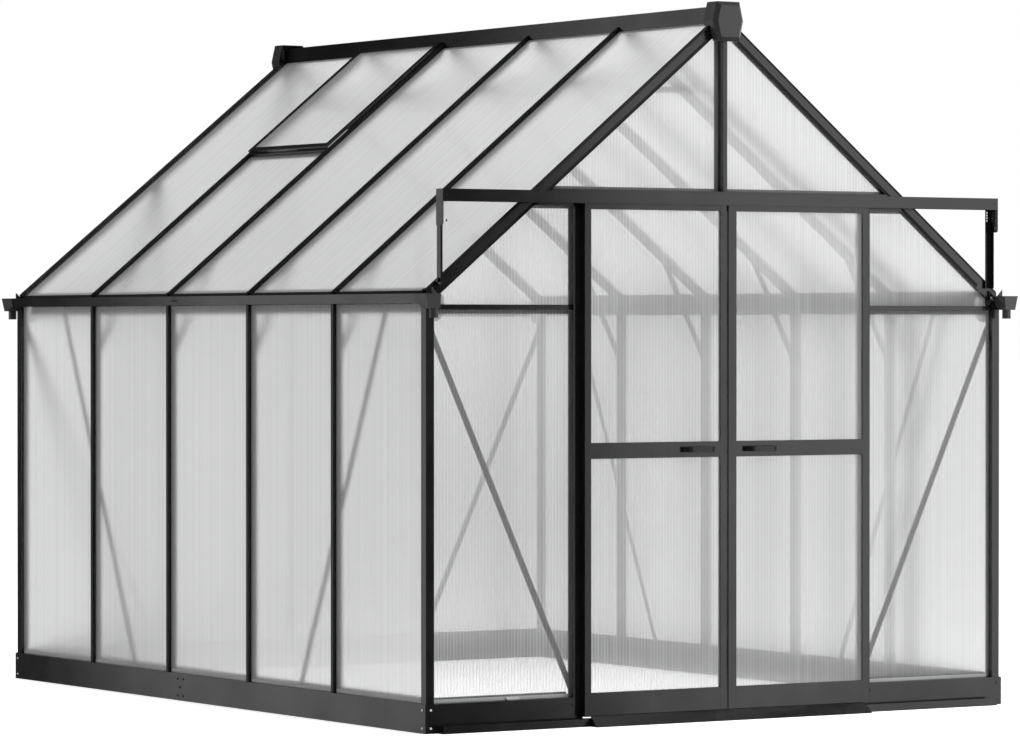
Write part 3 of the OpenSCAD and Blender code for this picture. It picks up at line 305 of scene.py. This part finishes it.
def twin_wall(name, axis):
    """Clear twin-wall sheet. Its webs are milky and scatter more, the skins between them blur a little, and
    seen at a slant the webs hide more of what is behind. Seen at a slant its tint is also paler, partly the
    milkier webs and partly a painted sheen."""
    material, tree, shader = new_material(name)
    place = tree.nodes.new("ShaderNodeTexCoord").outputs["Object"]
    parts = add(tree, "SeparateXYZ", Vector=place)
    slant = add(tree, "LayerWeight").outputs["Facing"]
    cover = remap(tree, slant, 0.0, SLANTED, 0.12, 1.1)
    ribs = use_group(tree, RIBS, Distance=parts.outputs[axis], Pitch=RIB_PITCH, Cover=cover)
    drawn = add(tree, "TexNoise", Scale=45.0, Detail=3.0)
    drawn.noise_dimensions = "1D"
    tree.links.new(parts.outputs[axis], drawn.inputs["W"])
    uneven = drawn.outputs[0]
    skin_cover = remap(tree, slant, SQUARE_ON, 0.23, 0.64, 0.86)
    web_cover = remap(tree, slant, SQUARE_ON, 0.30, 0.80, 0.97)
    front = remap(tree, ribs.outputs["Web"], 0.0, 1.0, skin_cover, web_cover)
    back = tree.nodes.new("ShaderNodeNewGeometry").outputs["Backfacing"]
    alpha = remap(tree, back, 0.0, 1.0, front, BACK_COVER)
    tree.links.new(maths(tree, "MULTIPLY", alpha, remap(tree, uneven, 0.3, 0.7, 0.97, 1.03), clamp=True),
                   shader.inputs["Alpha"])
    # The tint grows paler towards a slant: partly the milkier webs, partly a painted sheen.
    pale = remap(tree, slant, SQUARE_ON, SLANTED, 0.0, 1.0)
    low = blend_colours(tree, pale, TINTS_SQUARE_ON[0], TINTS_SLANTED_WITH_SHEEN[0])
    high = blend_colours(tree, pale, TINTS_SQUARE_ON[1], TINTS_SLANTED_WITH_SHEEN[1])
    tint = blend_colours(tree, remap(tree, uneven, 0.3, 0.7, 0.0, 1.0), low, high)
    tree.links.new(tint, shader.inputs["Base Color"])
    skin_blur = remap(tree, slant, SQUARE_ON, 0.25, 0.33, 0.6)
    web_blur = remap(tree, slant, SQUARE_ON, 0.30, 0.40, 0.8)
    blur = remap(tree, ribs.outputs["Web"], 0.0, 1.0, skin_blur, web_blur)
    tree.links.new(maths(tree, "ADD", blur, remap(tree, uneven, 0.3, 0.7, -0.03, 0.03)),
                   shader.inputs["Roughness"])
    shader.inputs["IOR"].default_value = 1.2
    shader.inputs["Transmission Weight"].default_value = 0.78
    rise = add(tree, "Bump", Strength=0.04, Distance=0.0005, Height=ribs.outputs["Height"])
    tree.links.new(rise.outputs[0], shader.inputs["Normal"])
    path = tree.nodes.new("ShaderNodeLightPath")
    clear = add(tree, "BsdfTransparent", Color=SHADE_LET_THROUGH)
    mixed = add(tree, "MixShader", i0=path.outputs["Is Shadow Ray"],
                i1=shader.outputs[0], i2=clear.outputs[0])
    tree.links.new(mixed.outputs[0], tree.nodes["Material Output"].inputs["Surface"])
    return material


def dress(node, material):
    """Gives a node of the frame its finish in place of the plain one."""
    mesh = NODES[node].data
    mesh.materials.clear()
    mesh.materials.append(material)


def finish_frame():
    """Gives every node of the frame its finish. Returns the two that the small parts share."""
    satin = {"rough": 0.19, "specular": 0.42, "grain": 700.0, "bump": 0.12}
    frame_coat = coat("frame_coat", (0.0055, 0.0057, 0.0061), (0.03, 0.031, 0.033), **satin)
    door_coat = coat("door_coat", (0.0050, 0.0052, 0.0056), (0.03, 0.031, 0.033), **satin)
    cap_plastic = coat("cap_plastic", (0.028, 0.0282, 0.029), (0.07, 0.07, 0.072),
                       rough=0.34, specular=0.45, grain=420.0, bump=0.4)
    grip_plastic = coat("grip_plastic", (0.006, 0.006, 0.0063), (0.03, 0.03, 0.032),
                        rough=0.36, specular=0.45, grain=520.0, bump=0.4)
    bar_coat = coat("bar_coat", (0.0040, 0.0041, 0.0044), (0.02, 0.02, 0.022),
                    rough=0.34, specular=0.22, grain=700.0, bump=0.2)
    brace_coat = coat("brace_coat", (0.030, 0.0305, 0.0315), (0.09, 0.09, 0.092),
                      rough=0.36, specular=0.35, grain=700.0, bump=0.2)
    galvanised = zinc("galvanised_plate", (0.42, 0.425, 0.43), rough=0.5, metal=0.4)
    gable_sheet = twin_wall("twin_wall_gable", "X")
    side_sheet = twin_wall("twin_wall_side", "Y")
    for name in NODES:
        if "sheet" in name:
            in_gable = not name.startswith(("left_wall", "right_wall", "left_roof", "right_roof", "vent"))
            dress(name, gable_sheet if in_gable else side_sheet)
        elif "cap" in name:
            dress(name, cap_plastic)
        elif "handle" in name or "runner" in name:
            dress(name, grip_plastic)
        elif name.startswith(("left_door", "right_door")):
            dress(name, door_coat)
        elif name == "eave_plates":
            dress(name, galvanised)
        elif "brace" in name or name in ("collar_ties", "apex_plates"):
            dress(name, brace_coat)
        elif name.endswith(("wall_bars", "roof_bars")):
            dress(name, bar_coat)
        else:
            dress(name, frame_coat)
    return frame_coat, grip_plastic


# ---------------------------------------------------------------- modelling helpers

def deselect():
    """Object mode with nothing selected."""
    if bpy.context.object and bpy.context.object.mode != "OBJECT":
        bpy.ops.object.mode_set(mode="OBJECT")
    bpy.ops.object.select_all(action="DESELECT")


def start_edit(kind):
    """Selects by face, edge or vertex, drops what was selected, and waits in object mode for the choice."""
    bpy.ops.object.mode_set(mode="EDIT")
    bpy.ops.mesh.select_mode(type=kind)
    bpy.ops.mesh.select_all(action="DESELECT")
    bpy.ops.object.mode_set(mode="OBJECT")


def edit_faces(piece, chosen):
    """Edit mode, with only the faces that pass the test selected."""
    start_edit("FACE")
    for face in piece.data.polygons:
        face.select = chosen(face)
    bpy.ops.object.mode_set(mode="EDIT")


def edit_edges(piece, chosen):
    """Edit mode, with only the edges whose two ends pass the test selected."""
    start_edit("EDGE")
    points = piece.data.vertices
    for edge in piece.data.edges:
        edge.select = all(chosen(points[corner].co) for corner in edge.vertices)
    bpy.ops.object.mode_set(mode="EDIT")


def settle(piece):
    """Back to object mode, at the origin, unturned and unscaled, with its faces outwards."""
    if piece.mode == "EDIT":
        bpy.ops.mesh.select_all(action="SELECT")
        bpy.ops.mesh.normals_make_consistent(inside=False)
        bpy.ops.object.mode_set(mode="OBJECT")
    bpy.ops.object.transform_apply(location=True, rotation=True, scale=True)
    bpy.ops.object.shade_smooth_by_angle(angle=math.radians(35))


def fit_out(piece, finish, body="root"):
    """Gives a new piece its finish and the body it rides on."""
    piece.data.materials.clear()
    piece.data.materials.append(finish)
    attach(piece, body)


def set_out(pattern, name, spots, finish):
    """Copies a modelled pattern to each spot, its z along the spot's direction, and joins the copies."""
    deselect()
    copies = []
    for point, way in spots:
        copy = pattern.copy()
        copy.data = pattern.data.copy()
        copy.matrix_world = Matrix.LocRotScale(Vector(point), Vector(way).to_track_quat("Z", "Y"), None)
        bpy.context.scene.collection.objects.link(copy)
        copy.select_set(True)
        copies.append(copy)
    bpy.context.view_layer.objects.active = copies[0]
    if len(copies) > 1:
        bpy.ops.object.join()
    piece = bpy.context.object
    piece.name = name
    bpy.ops.object.transform_apply(location=True, rotation=True, scale=True)
    fit_out(piece, finish)


def draw_strip(name, outline, along):
    """Draws an outline point by point from one corner of a plane, closes and fills it, and extrudes it."""
    deselect()
    seed = 0.01
    bpy.ops.mesh.primitive_plane_add(size=seed, location=(0, 0, 0))
    strip = bpy.context.object
    strip.name = name
    start_edit("VERT")
    for number, point in enumerate(strip.data.vertices):
        point.select = number > 0
    bpy.ops.object.mode_set(mode="EDIT")
    bpy.ops.mesh.delete(type="VERT")
    bpy.ops.mesh.select_all(action="SELECT")
    here = Vector((-seed / 2, -seed / 2, 0))
    bpy.ops.transform.translate(value=Vector(outline[0]) - here)
    for first, second in zip(outline, outline[1:]):
        bpy.ops.mesh.extrude_vertices_move(
            TRANSFORM_OT_translate={"value": Vector(second) - Vector(first)})
    bpy.ops.mesh.select_all(action="SELECT")
    bpy.ops.mesh.edge_face_add()
    bpy.ops.mesh.select_mode(type="FACE")
    bpy.ops.mesh.select_all(action="SELECT")
    bpy.ops.mesh.extrude_region_move(TRANSFORM_OT_translate={"value": Vector(along)})
    settle(strip)
    return strip


def join_pieces(pieces, name):
    """Joins strips into one piece under a new name."""
    deselect()
    for piece in pieces:
        piece.select_set(True)
    bpy.context.view_layer.objects.active = pieces[0]
    bpy.ops.object.join()
    bpy.context.object.name = name
    return bpy.context.object


# ---------------------------------------------------------------- patterns that repeat

def model_screw(radius, height):
    """A pan head with a rounded rim and a socket, standing on z = 0."""
    deselect()
    bpy.ops.mesh.primitive_cylinder_add(vertices=12, radius=radius, depth=height, location=(0, 0, height / 2))
    head = bpy.context.object
    settle(head)
    edit_edges(head, lambda point: point.z > 0.9 * height)
    bpy.ops.mesh.bevel(offset=0.35 * height, segments=2)
    edit_faces(head, lambda face: face.normal.z > 0.99)
    bpy.ops.mesh.inset(thickness=0.35 * radius)
    bpy.ops.mesh.extrude_region_move(TRANSFORM_OT_translate={"value": (0, 0, -0.5 * height)})
    settle(head)
    return head


def model_bolt(across, height, washer_radius):
    """A hexagon head with chamfered corners on a washer, standing on z = 0."""
    deselect()
    thick = 0.0012
    bpy.ops.mesh.primitive_cylinder_add(vertices=6, radius=across / math.sqrt(3), depth=height,
                                        location=(0, 0, thick + height / 2))
    head = bpy.context.object
    settle(head)
    top = thick + height
    edit_edges(head, lambda point: point.z > top - 0.0001)
    bpy.ops.mesh.bevel(offset=0.16 * height, segments=1)
    edit_faces(head, lambda face: face.normal.z > 0.99)
    bpy.ops.mesh.inset(thickness=0.12 * across)
    bpy.ops.mesh.extrude_region_move(TRANSFORM_OT_translate={"value": (0, 0, -0.0006)})
    bpy.ops.mesh.primitive_cylinder_add(vertices=14, radius=washer_radius, depth=thick,
                                        location=(0, 0, thick / 2))
    settle(head)
    return head


def model_plug():
    """A moulded end plug for a bar: a round peg with soft rims, its height along z."""
    high = 0.0150
    deselect()
    bpy.ops.mesh.primitive_cylinder_add(vertices=16, radius=0.0093, depth=high, location=(0, 0, 0))
    plug = bpy.context.object
    settle(plug)
    edit_edges(plug, lambda point: abs(point.z) > high / 2 - 0.0001)
    bpy.ops.mesh.bevel(offset=0.0022, segments=3)
    settle(plug)
    return plug


# ---------------------------------------------------------------- small parts

# The base's outer faces, and the heights and inset of its screws
BASE_X, BASE_Y = 1.233, 1.556
SCREW_HEIGHTS, SCREW_INSET = (0.018, 0.080), 0.021
# Heads: a screw's radius and height, and a bolt's width across flats, height and washer radius
BASE_SCREW, JOINT_SCREW = (0.0042, 0.0022), (0.0036, 0.0018)
BRACE_BOLT, STRUT_BOLT = (0.0100, 0.0042, 0.0066), (0.0130, 0.0056, 0.0090)
# Where base, gutters and ridge beam are joined, along the house
SPLICE_Y = 0.191
# The outer roof plane. SLOPE is its fall for each metre outwards, RUN how far a metre along it goes outwards.
EAVE_X, EAVE_Z, APEX_Z = 1.220, 1.509, 2.490
SLOPE = (APEX_Z - EAVE_Z) / EAVE_X
RUN = 1 / math.hypot(1, SLOPE)
SHEET_DEPTH = 0.013
# The middle lines of the inner bars, and of all bars and rafters
BAR_LINES = (-0.915, -0.305, 0.305, 0.915)
BAY_LINES = (-1.525, *BAR_LINES, 1.525)
# The outer faces of the gable sheets, wall sheets and rafters, and the back of the door leaves
GABLE_SHEET_Y, WALL_SHEET_X, RAFTER_Y, LEAF_BACK_Y = 1.529, 1.214, 1.542, -1.570
VENT_LINES, VENT_FOOT = (0.305, 0.915), 0.560
# Bolt holes: the side braces' (y, z), then (x, z) of the gable braces, knee braces and collar ties
SIDE_BRACE_X, SIDE_BRACE_HOLES = 1.180, ((1.215, 1.430), (0.630, 0.110))
GABLE_BRACE_Y, GABLE_BRACE_TOP = 1.517, (1.193, 1.374)
FRONT_BRACE_FOOT, REAR_BRACE_FOOT = (0.621, 0.126), (0.631, 0.126)
KNEE_BRACE_HOLES, TIE_HOLE = ((1.193, 1.270), (1.015, 1.6302)), (0.2455, 2.249)
# The two faces of a knee brace or collar tie, from the middle line of its bar
BRACE_FRONT, BRACE_REAR = 0.009, 0.012
SIDES, ENDS = (-1, 1), (-1, 1)


def at(x, y, z):
    return Vector((x, y, z))


def on_roof(side, x, depth):
    """A point under the outer roof plane, at a distance x from the middle."""
    return Vector((side * x, 0, APEX_Z - SLOPE * x - depth / RUN))


def down_roof(side):
    """One step down the slope."""
    return Vector((side * RUN, 0, -SLOPE * RUN))


def off_roof(side):
    """One step square off the slope."""
    return Vector((side * SLOPE * RUN, 0, RUN))


def screw_base(bright, dark):
    """Screws at the corners of the base, those on the left in a pale zinc that paints their highlight, and
    where its pieces are joined.
    """
    screw = model_screw(*BASE_SCREW)
    # The left corner screws take the pale zinc as a painted highlight; the right ones take the plain dark
    # zinc.
    for x, side, finish in ((-1, "left", bright), (1, "right", dark)):
        corner = []
        for y in ENDS:
            for z in SCREW_HEIGHTS:
                corner.append((at(x * (BASE_X - SCREW_INSET), y * BASE_Y, z), (0, y, 0)))
                corner.append((at(x * BASE_X, y * (BASE_Y - SCREW_INSET), z), (x, 0, 0)))
        set_out(screw, side + "_base_corner_screws", corner, finish)
    joint = [(at(x * BASE_X, SPLICE_Y + dy, z), (x, 0, 0))
             for x in SIDES for dy in (-SCREW_INSET, SCREW_INSET) for z in SCREW_HEIGHTS]
    joint += [(at(x * BASE_X, SPLICE_Y + 0.004, 0.050), (x, 0, 0)) for x in SIDES]
    joint += [(at(x * 0.640, -BASE_Y, 0.075), (0, -1, 0)) for x in SIDES]
    set_out(screw, "base_joint_screws", joint, dark)
    bpy.data.objects.remove(screw)


def screw_ridge_and_gutters(dark):
    """Rows of small screws over the joints of the ridge beam and the gutters."""
    screw = model_screw(*JOINT_SCREW)
    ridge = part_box("ridge_beam")
    middle = (ridge[0][2] + ridge[1][2]) / 2
    rows = [(at(x * ridge[1][0], SPLICE_Y + dy, middle), (x, 0, 0))
            for x in SIDES for dy in (-0.042, -0.016, 0.016, 0.042)]
    set_out(screw, "ridge_joint_screws", rows, dark)
    lean = Vector((0.033, 0, -0.008)).normalized()
    rows = [(at(x * 1.2580, SPLICE_Y + dy, 1.4775), (x * lean.x, 0, lean.z))
            for x in SIDES for dy in (-0.018, -0.006, 0.006, 0.018)]
    set_out(screw, "gutter_joint_screws", rows, dark)
    bpy.data.objects.remove(screw)


def bolt_braces(steel):
    """Hexagon heads inside the house on the wall and gable braces, and on both sides of the others."""
    bolt = model_bolt(*BRACE_BOLT)
    spots = []

    def through_bar(x, line, z):
        spots.append((at(x, line + BRACE_REAR, z), (0, 1, 0)))
        spots.append((at(x, line + BRACE_FRONT, z), (0, -1, 0)))

    for x in SIDES:
        for y in ENDS:
            foot = FRONT_BRACE_FOOT if y < 0 else REAR_BRACE_FOOT
            spots += [(at(x * SIDE_BRACE_X, y * along, up), (-x, 0, 0)) for along, up in SIDE_BRACE_HOLES]
            spots += [(at(x * across, y * GABLE_BRACE_Y, up), (0, -y, 0))
                      for across, up in (GABLE_BRACE_TOP, foot)]
        for line in BAR_LINES:
            for across, up in KNEE_BRACE_HOLES:
                through_bar(x * across, line, up)
    for line in BAR_LINES:
        for x in SIDES:
            through_bar(x * TIE_HOLE[0], line, TIE_HOLE[1])
    set_out(bolt, "brace_bolts", spots, steel)
    bpy.data.objects.remove(bolt)


def bolt_struts(steel):
    """The bolt at the foot of each strut that carries an end of the door rail, and the rail's end screws."""
    bolt = model_bolt(*STRUT_BOLT)
    spots = [(at(x * 1.184, -1.560, 1.540), (x, 0, 0)) for x in SIDES]
    set_out(bolt, "strut_foot_bolts", spots, steel)
    screw = model_screw(*JOINT_SCREW)
    spots = [(at(x * 1.173, -1.594, z), (0, -1, 0)) for x in SIDES for z in (1.742, 1.829)]
    set_out(screw, "rail_end_screws", spots, steel)
    bpy.data.objects.remove(bolt)
    bpy.data.objects.remove(screw)


def plug_bars(plastic):
    """Moulded plugs that round off the lower ends of the roof bars and rafters."""
    plug = model_plug()
    spots = []
    for x in SIDES:
        for line in BAY_LINES:
            end = on_roof(x, EAVE_X - 0.0020, 0.0062)
            spots.append((at(end.x, line, end.z), off_roof(x)))
    set_out(plug, "bar_end_plugs", spots, plastic)
    bpy.data.objects.remove(plug)


def edge_roof_sheets(rubber_and_shade):
    """Drip strips: a thin profile folded over the lower edge of each roof sheet, with a lifted lip. Their
    dark finish also paints the shadow in the gap between the sheets and the gutter.
    """
    for x, side in ((-1, "left"), (1, "right")):
        strips = []
        down, off = down_roof(x), off_roof(x)
        end = on_roof(x, EAVE_X - 0.0028, SHEET_DEPTH)
        for near, far in zip(BAY_LINES, BAY_LINES[1:]):
            start, stop = near + 0.0105, far - 0.0105
            outline = [end + down * a + off * b for a, b in (
                (-0.0150, 0.0003), (-0.0150, 0.0012), (0.0006, 0.0018), (0.0012, 0.0040), (0.0024, 0.0042),
                (0.0024, -0.0062), (0.0006, -0.0062), (0.0006, 0.0003))]
            outline = [point + at(0, start, 0) for point in outline]
            strips.append(draw_strip("strip", outline, (0, stop - start, 0)))
        # The dark strips partly paint the shadow in the gap above the gutter.
        fit_out(join_pieces(strips, side + "_drip_and_shade_strips"), rubber_and_shade)


def edge_wall_sheets(tape):
    """Pale end tape folded over the lower edge of each gable and wall sheet, above the base."""
    low, high = 0.1005, 0.1125
    pieces = []

    def fold(corner, outwards, along):
        """One fold of tape: its section goes up the sheet from a low corner and is drawn out along it."""
        section = ((0, low), (0.0012, low), (0.0012, high - 0.001), (0.0004, high), (0, high))
        outline = [corner + outwards * proud + at(0, 0, z) for proud, z in section]
        pieces.append(draw_strip("tape", outline, along))

    corner_bays = [(-1.184, -0.638), (0.638, 1.184)]
    rear_bays = [(-1.184, -0.634), (-0.570, 0.570), (0.634, 1.184)]
    for y in ENDS:
        for start, stop in corner_bays if y < 0 else rear_bays:
            fold(at(start, y * GABLE_SHEET_Y, 0), at(0, y, 0), (stop - start, 0, 0))
    for x in SIDES:
        for near, far in zip(BAY_LINES, BAY_LINES[1:]):
            start, stop = max(near + 0.0095, -1.517), min(far - 0.0095, 1.517)
            fold(at(x * WALL_SHEET_X, start, 0), at(x, 0, 0), (0, stop - start, 0))
    fit_out(join_pieces(pieces, "sheet_end_tape"), tape)


def line_rafters(coat_finish, dark):
    """The steps of the gable rafters: a raised lip along the upper edge and a thin dark strip along the lower
    one that paints the shadow of the recess there, with a rim below it on the left."""
    for y, gable in ((-1, "front"), (1, "rear")):
        lips, shade_strips = [], []
        for x in SIDES:
            down, off = down_roof(x), off_roof(x)
            # bucket, upper and lower edge, how proud, bevel, and where it starts and ends across the gable
            steps = [(lips, 0.0002, 0.0060, 0.0028, 0.0036, 0.045, 1.214)]
            # The dark strips are painted shadow: narrow above the rim on the left, wide on the right.
            if x < 0:
                steps += [(lips, 0.0385, 0.0458, 0.0020, 0.0026, 0.090, 1.150),
                          (shade_strips, 0.0340, 0.0380, 0.0006, 0.0008, 0.090, 1.155)]
            else:
                steps += [(shade_strips, 0.0330, 0.0458, 0.0006, 0.0008, 0.090, 1.155)]
            for bucket, top, bottom, rise, chamfer, first, last in steps:
                start = on_roof(x, first, 0.0) + at(0, y * RAFTER_Y, 0)
                length = (last - first) / RUN
                section = ((top, 0), (top, 0.2), (top + chamfer, 1), (bottom - 0.0008, 1), (bottom, 0.6),
                           (bottom, 0))
                outline = [start - off * deep + at(0, y * proud * rise, 0) for deep, proud in section]
                bucket.append(draw_strip("lip", outline, down * length))
        fit_out(join_pieces(lips, gable + "_rafter_lips"), coat_finish)
        fit_out(join_pieces(shade_strips, gable + "_rafter_shade_strips"), dark)


def clip_sheet(clear):
    """The moulded clip that holds the lower edge of the left front sheet: a saddle with two ears. Its pale
    plastic paints a highlight on the base's inner lip.
    """
    middle = -0.870
    deselect()
    bpy.ops.mesh.primitive_cube_add(size=1, location=(middle, -1.5345, 0.1055))
    clip = bpy.context.object
    bpy.ops.transform.resize(value=(0.040, 0.0070, 0.0100))
    settle(clip)
    edit_faces(clip, lambda face: abs(face.normal.x) > 0.9)
    bpy.ops.mesh.extrude_region_move(TRANSFORM_OT_translate={"value": (0, 0, 0)})
    bpy.ops.transform.resize(value=(1.35, 1.0, 0.55))
    edit_faces(clip, lambda face: face.normal.z > 0.99 and abs(face.center.x - middle) < 0.010)
    bpy.ops.mesh.inset(thickness=0.002)
    bpy.ops.mesh.extrude_region_move(TRANSFORM_OT_translate={"value": (0, 0, -0.002)})
    settle(clip)
    rim = clip.modifiers.new("rim", "BEVEL")
    rim.width, rim.segments = 0.0008, 2
    bpy.ops.object.modifier_apply(modifier="rim")
    clip.name = "sheet_clip"
    fit_out(clip, clear)


def seal_doors(rubber_and_shade):
    """Brush seals down the outer stiles, between the leaves and the jambs, riding with each leaf."""
    for body, edge, way in (("left_door", -0.607, 1), ("right_door", 0.607, -1)):
        section = ((0.004, 0), (0.004, 0.0030), (0.006, 0.0042), (0.010, 0.0042), (0.012, 0.0030), (0.012, 0))
        outline = [at(edge + way * across, LEAF_BACK_Y + proud, 0.040) for across, proud in section]
        seal = draw_strip(body + "_brush_seal", outline, (0, 0, 1.770))
        fit_out(seal, rubber_and_shade, body)


def line_bars(rubber_and_shade):
    """Gasket beads beside the heads of the roof bars, pressed on the sheets. Those beside the vent start
    at its foot."""
    for x, side in ((-1, "left"), (1, "right")):
        beads = []
        down, off = down_roof(x), off_roof(x)
        for line in BAY_LINES:
            for way in (-1, 1):
                if abs(line + way * 0.01) > BAY_LINES[-1]:
                    continue
                top = VENT_FOOT if x < 0 and line in VENT_LINES else 0.030
                start = on_roof(x, top, SHEET_DEPTH) + at(0, line + way * 0.0085, 0)
                length = (EAVE_X - 0.006 - top) / RUN
                outline = [start, start + off * 0.0030, start + at(0, way * 0.0016, 0) + off * 0.0024,
                           start + at(0, way * 0.0026, 0) + off * 0.0004]
                beads.append(draw_strip("bead", outline, down * length))
        fit_out(join_pieces(beads, side + "_roof_gaskets"), rubber_and_shade)


def fit_hardware(frame_coat, plastic):
    """Models the small parts in their own finishes."""
    # A pale zinc, used only to paint the highlight on the left base corner screws.
    bright = zinc("zinc_painted_highlight", (0.86, 0.87, 0.88), rough=0.35, metal=0.25)
    steel = zinc("dark_zinc", (0.09, 0.092, 0.095), rough=0.35, metal=1.0)
    # A dark rubber for gaskets and seals; on the rafters' lower edges and the roof sheets' lower edges it
    # also paints shade.
    rubber_and_shade = coat("rubber_and_painted_shade", (0.006, 0.006, 0.0062), (0.02, 0.02, 0.02),
                  rough=0.55, specular=0.3, grain=900.0, bump=0.2, edge_lighten=0.2)
    tape = coat("end_tape", (0.36, 0.365, 0.365), (0.5, 0.5, 0.5),
                rough=0.45, specular=0.4, grain=500.0, bump=0.2, edge_lighten=0.3)
    # The clip's pale plastic paints a highlight on the base's inner lip.
    clear = coat("clip_painted_highlight", (0.50, 0.505, 0.505), (0.6, 0.6, 0.6),
                 rough=0.3, specular=0.5, grain=500.0, bump=0.15, edge_lighten=0.3)
    screw_base(bright, steel)
    screw_ridge_and_gutters(steel)
    bolt_braces(steel)
    bolt_struts(steel)
    plug_bars(plastic)
    edge_roof_sheets(rubber_and_shade)
    edge_wall_sheets(tape)
    line_rafters(frame_coat, rubber_and_shade)
    clip_sheet(clear)
    seal_doors(rubber_and_shade)
    line_bars(rubber_and_shade)


# ---------------------------------------------------------------- the whole scene

GRAIN, EDGES, RIBS = build_grain(), build_edges(), build_ribs()

add_camera()
light_room()
add_softbox("overhead", (3.0, -5.0, 8.0), (0, 0, 1.0), (7, 6), 740, mirrored=False)
add_softbox("top_front", (-0.8, -6.5, 8.5), (0, -1.5, 2.0), (4.0, 2.5), 94)
for side, place in (("front", (-1.5, -14.0, 1.6)), ("back", (1.5, 14.0, 1.6)),
                    ("left", (-14.0, -1.0, 1.6)), ("right", (14.0, -2.0, 1.6))):
    add_softbox(side + "_fill", place, (0, 0, 1.4), (6, 4), 50)
add_softbox("left_high", (-3.1, 4.5, 4.9), (-0.06, -1.56, 2.48), (1.9, 1.5), 11)
add_softbox("right_front", (5.25, -6.6, 1.5), (5.25, 0.0, 1.5), (5.1, 4.6), 165)
add_softbox("left_back", (-5.9, 3.6, 1.3), (-1.7, -1.2, 1.35), (5.8, 4.2), 86)
add_softbox("right_back", (12.0, 5.0, 1.8), (0, 0, 1.5), (6, 5), 113)
lay_floor()
frame_coat, grip_plastic = finish_frame()
fit_hardware(frame_coat, grip_plastic)

scene = bpy.context.scene
scene.view_settings.view_transform = "Standard"
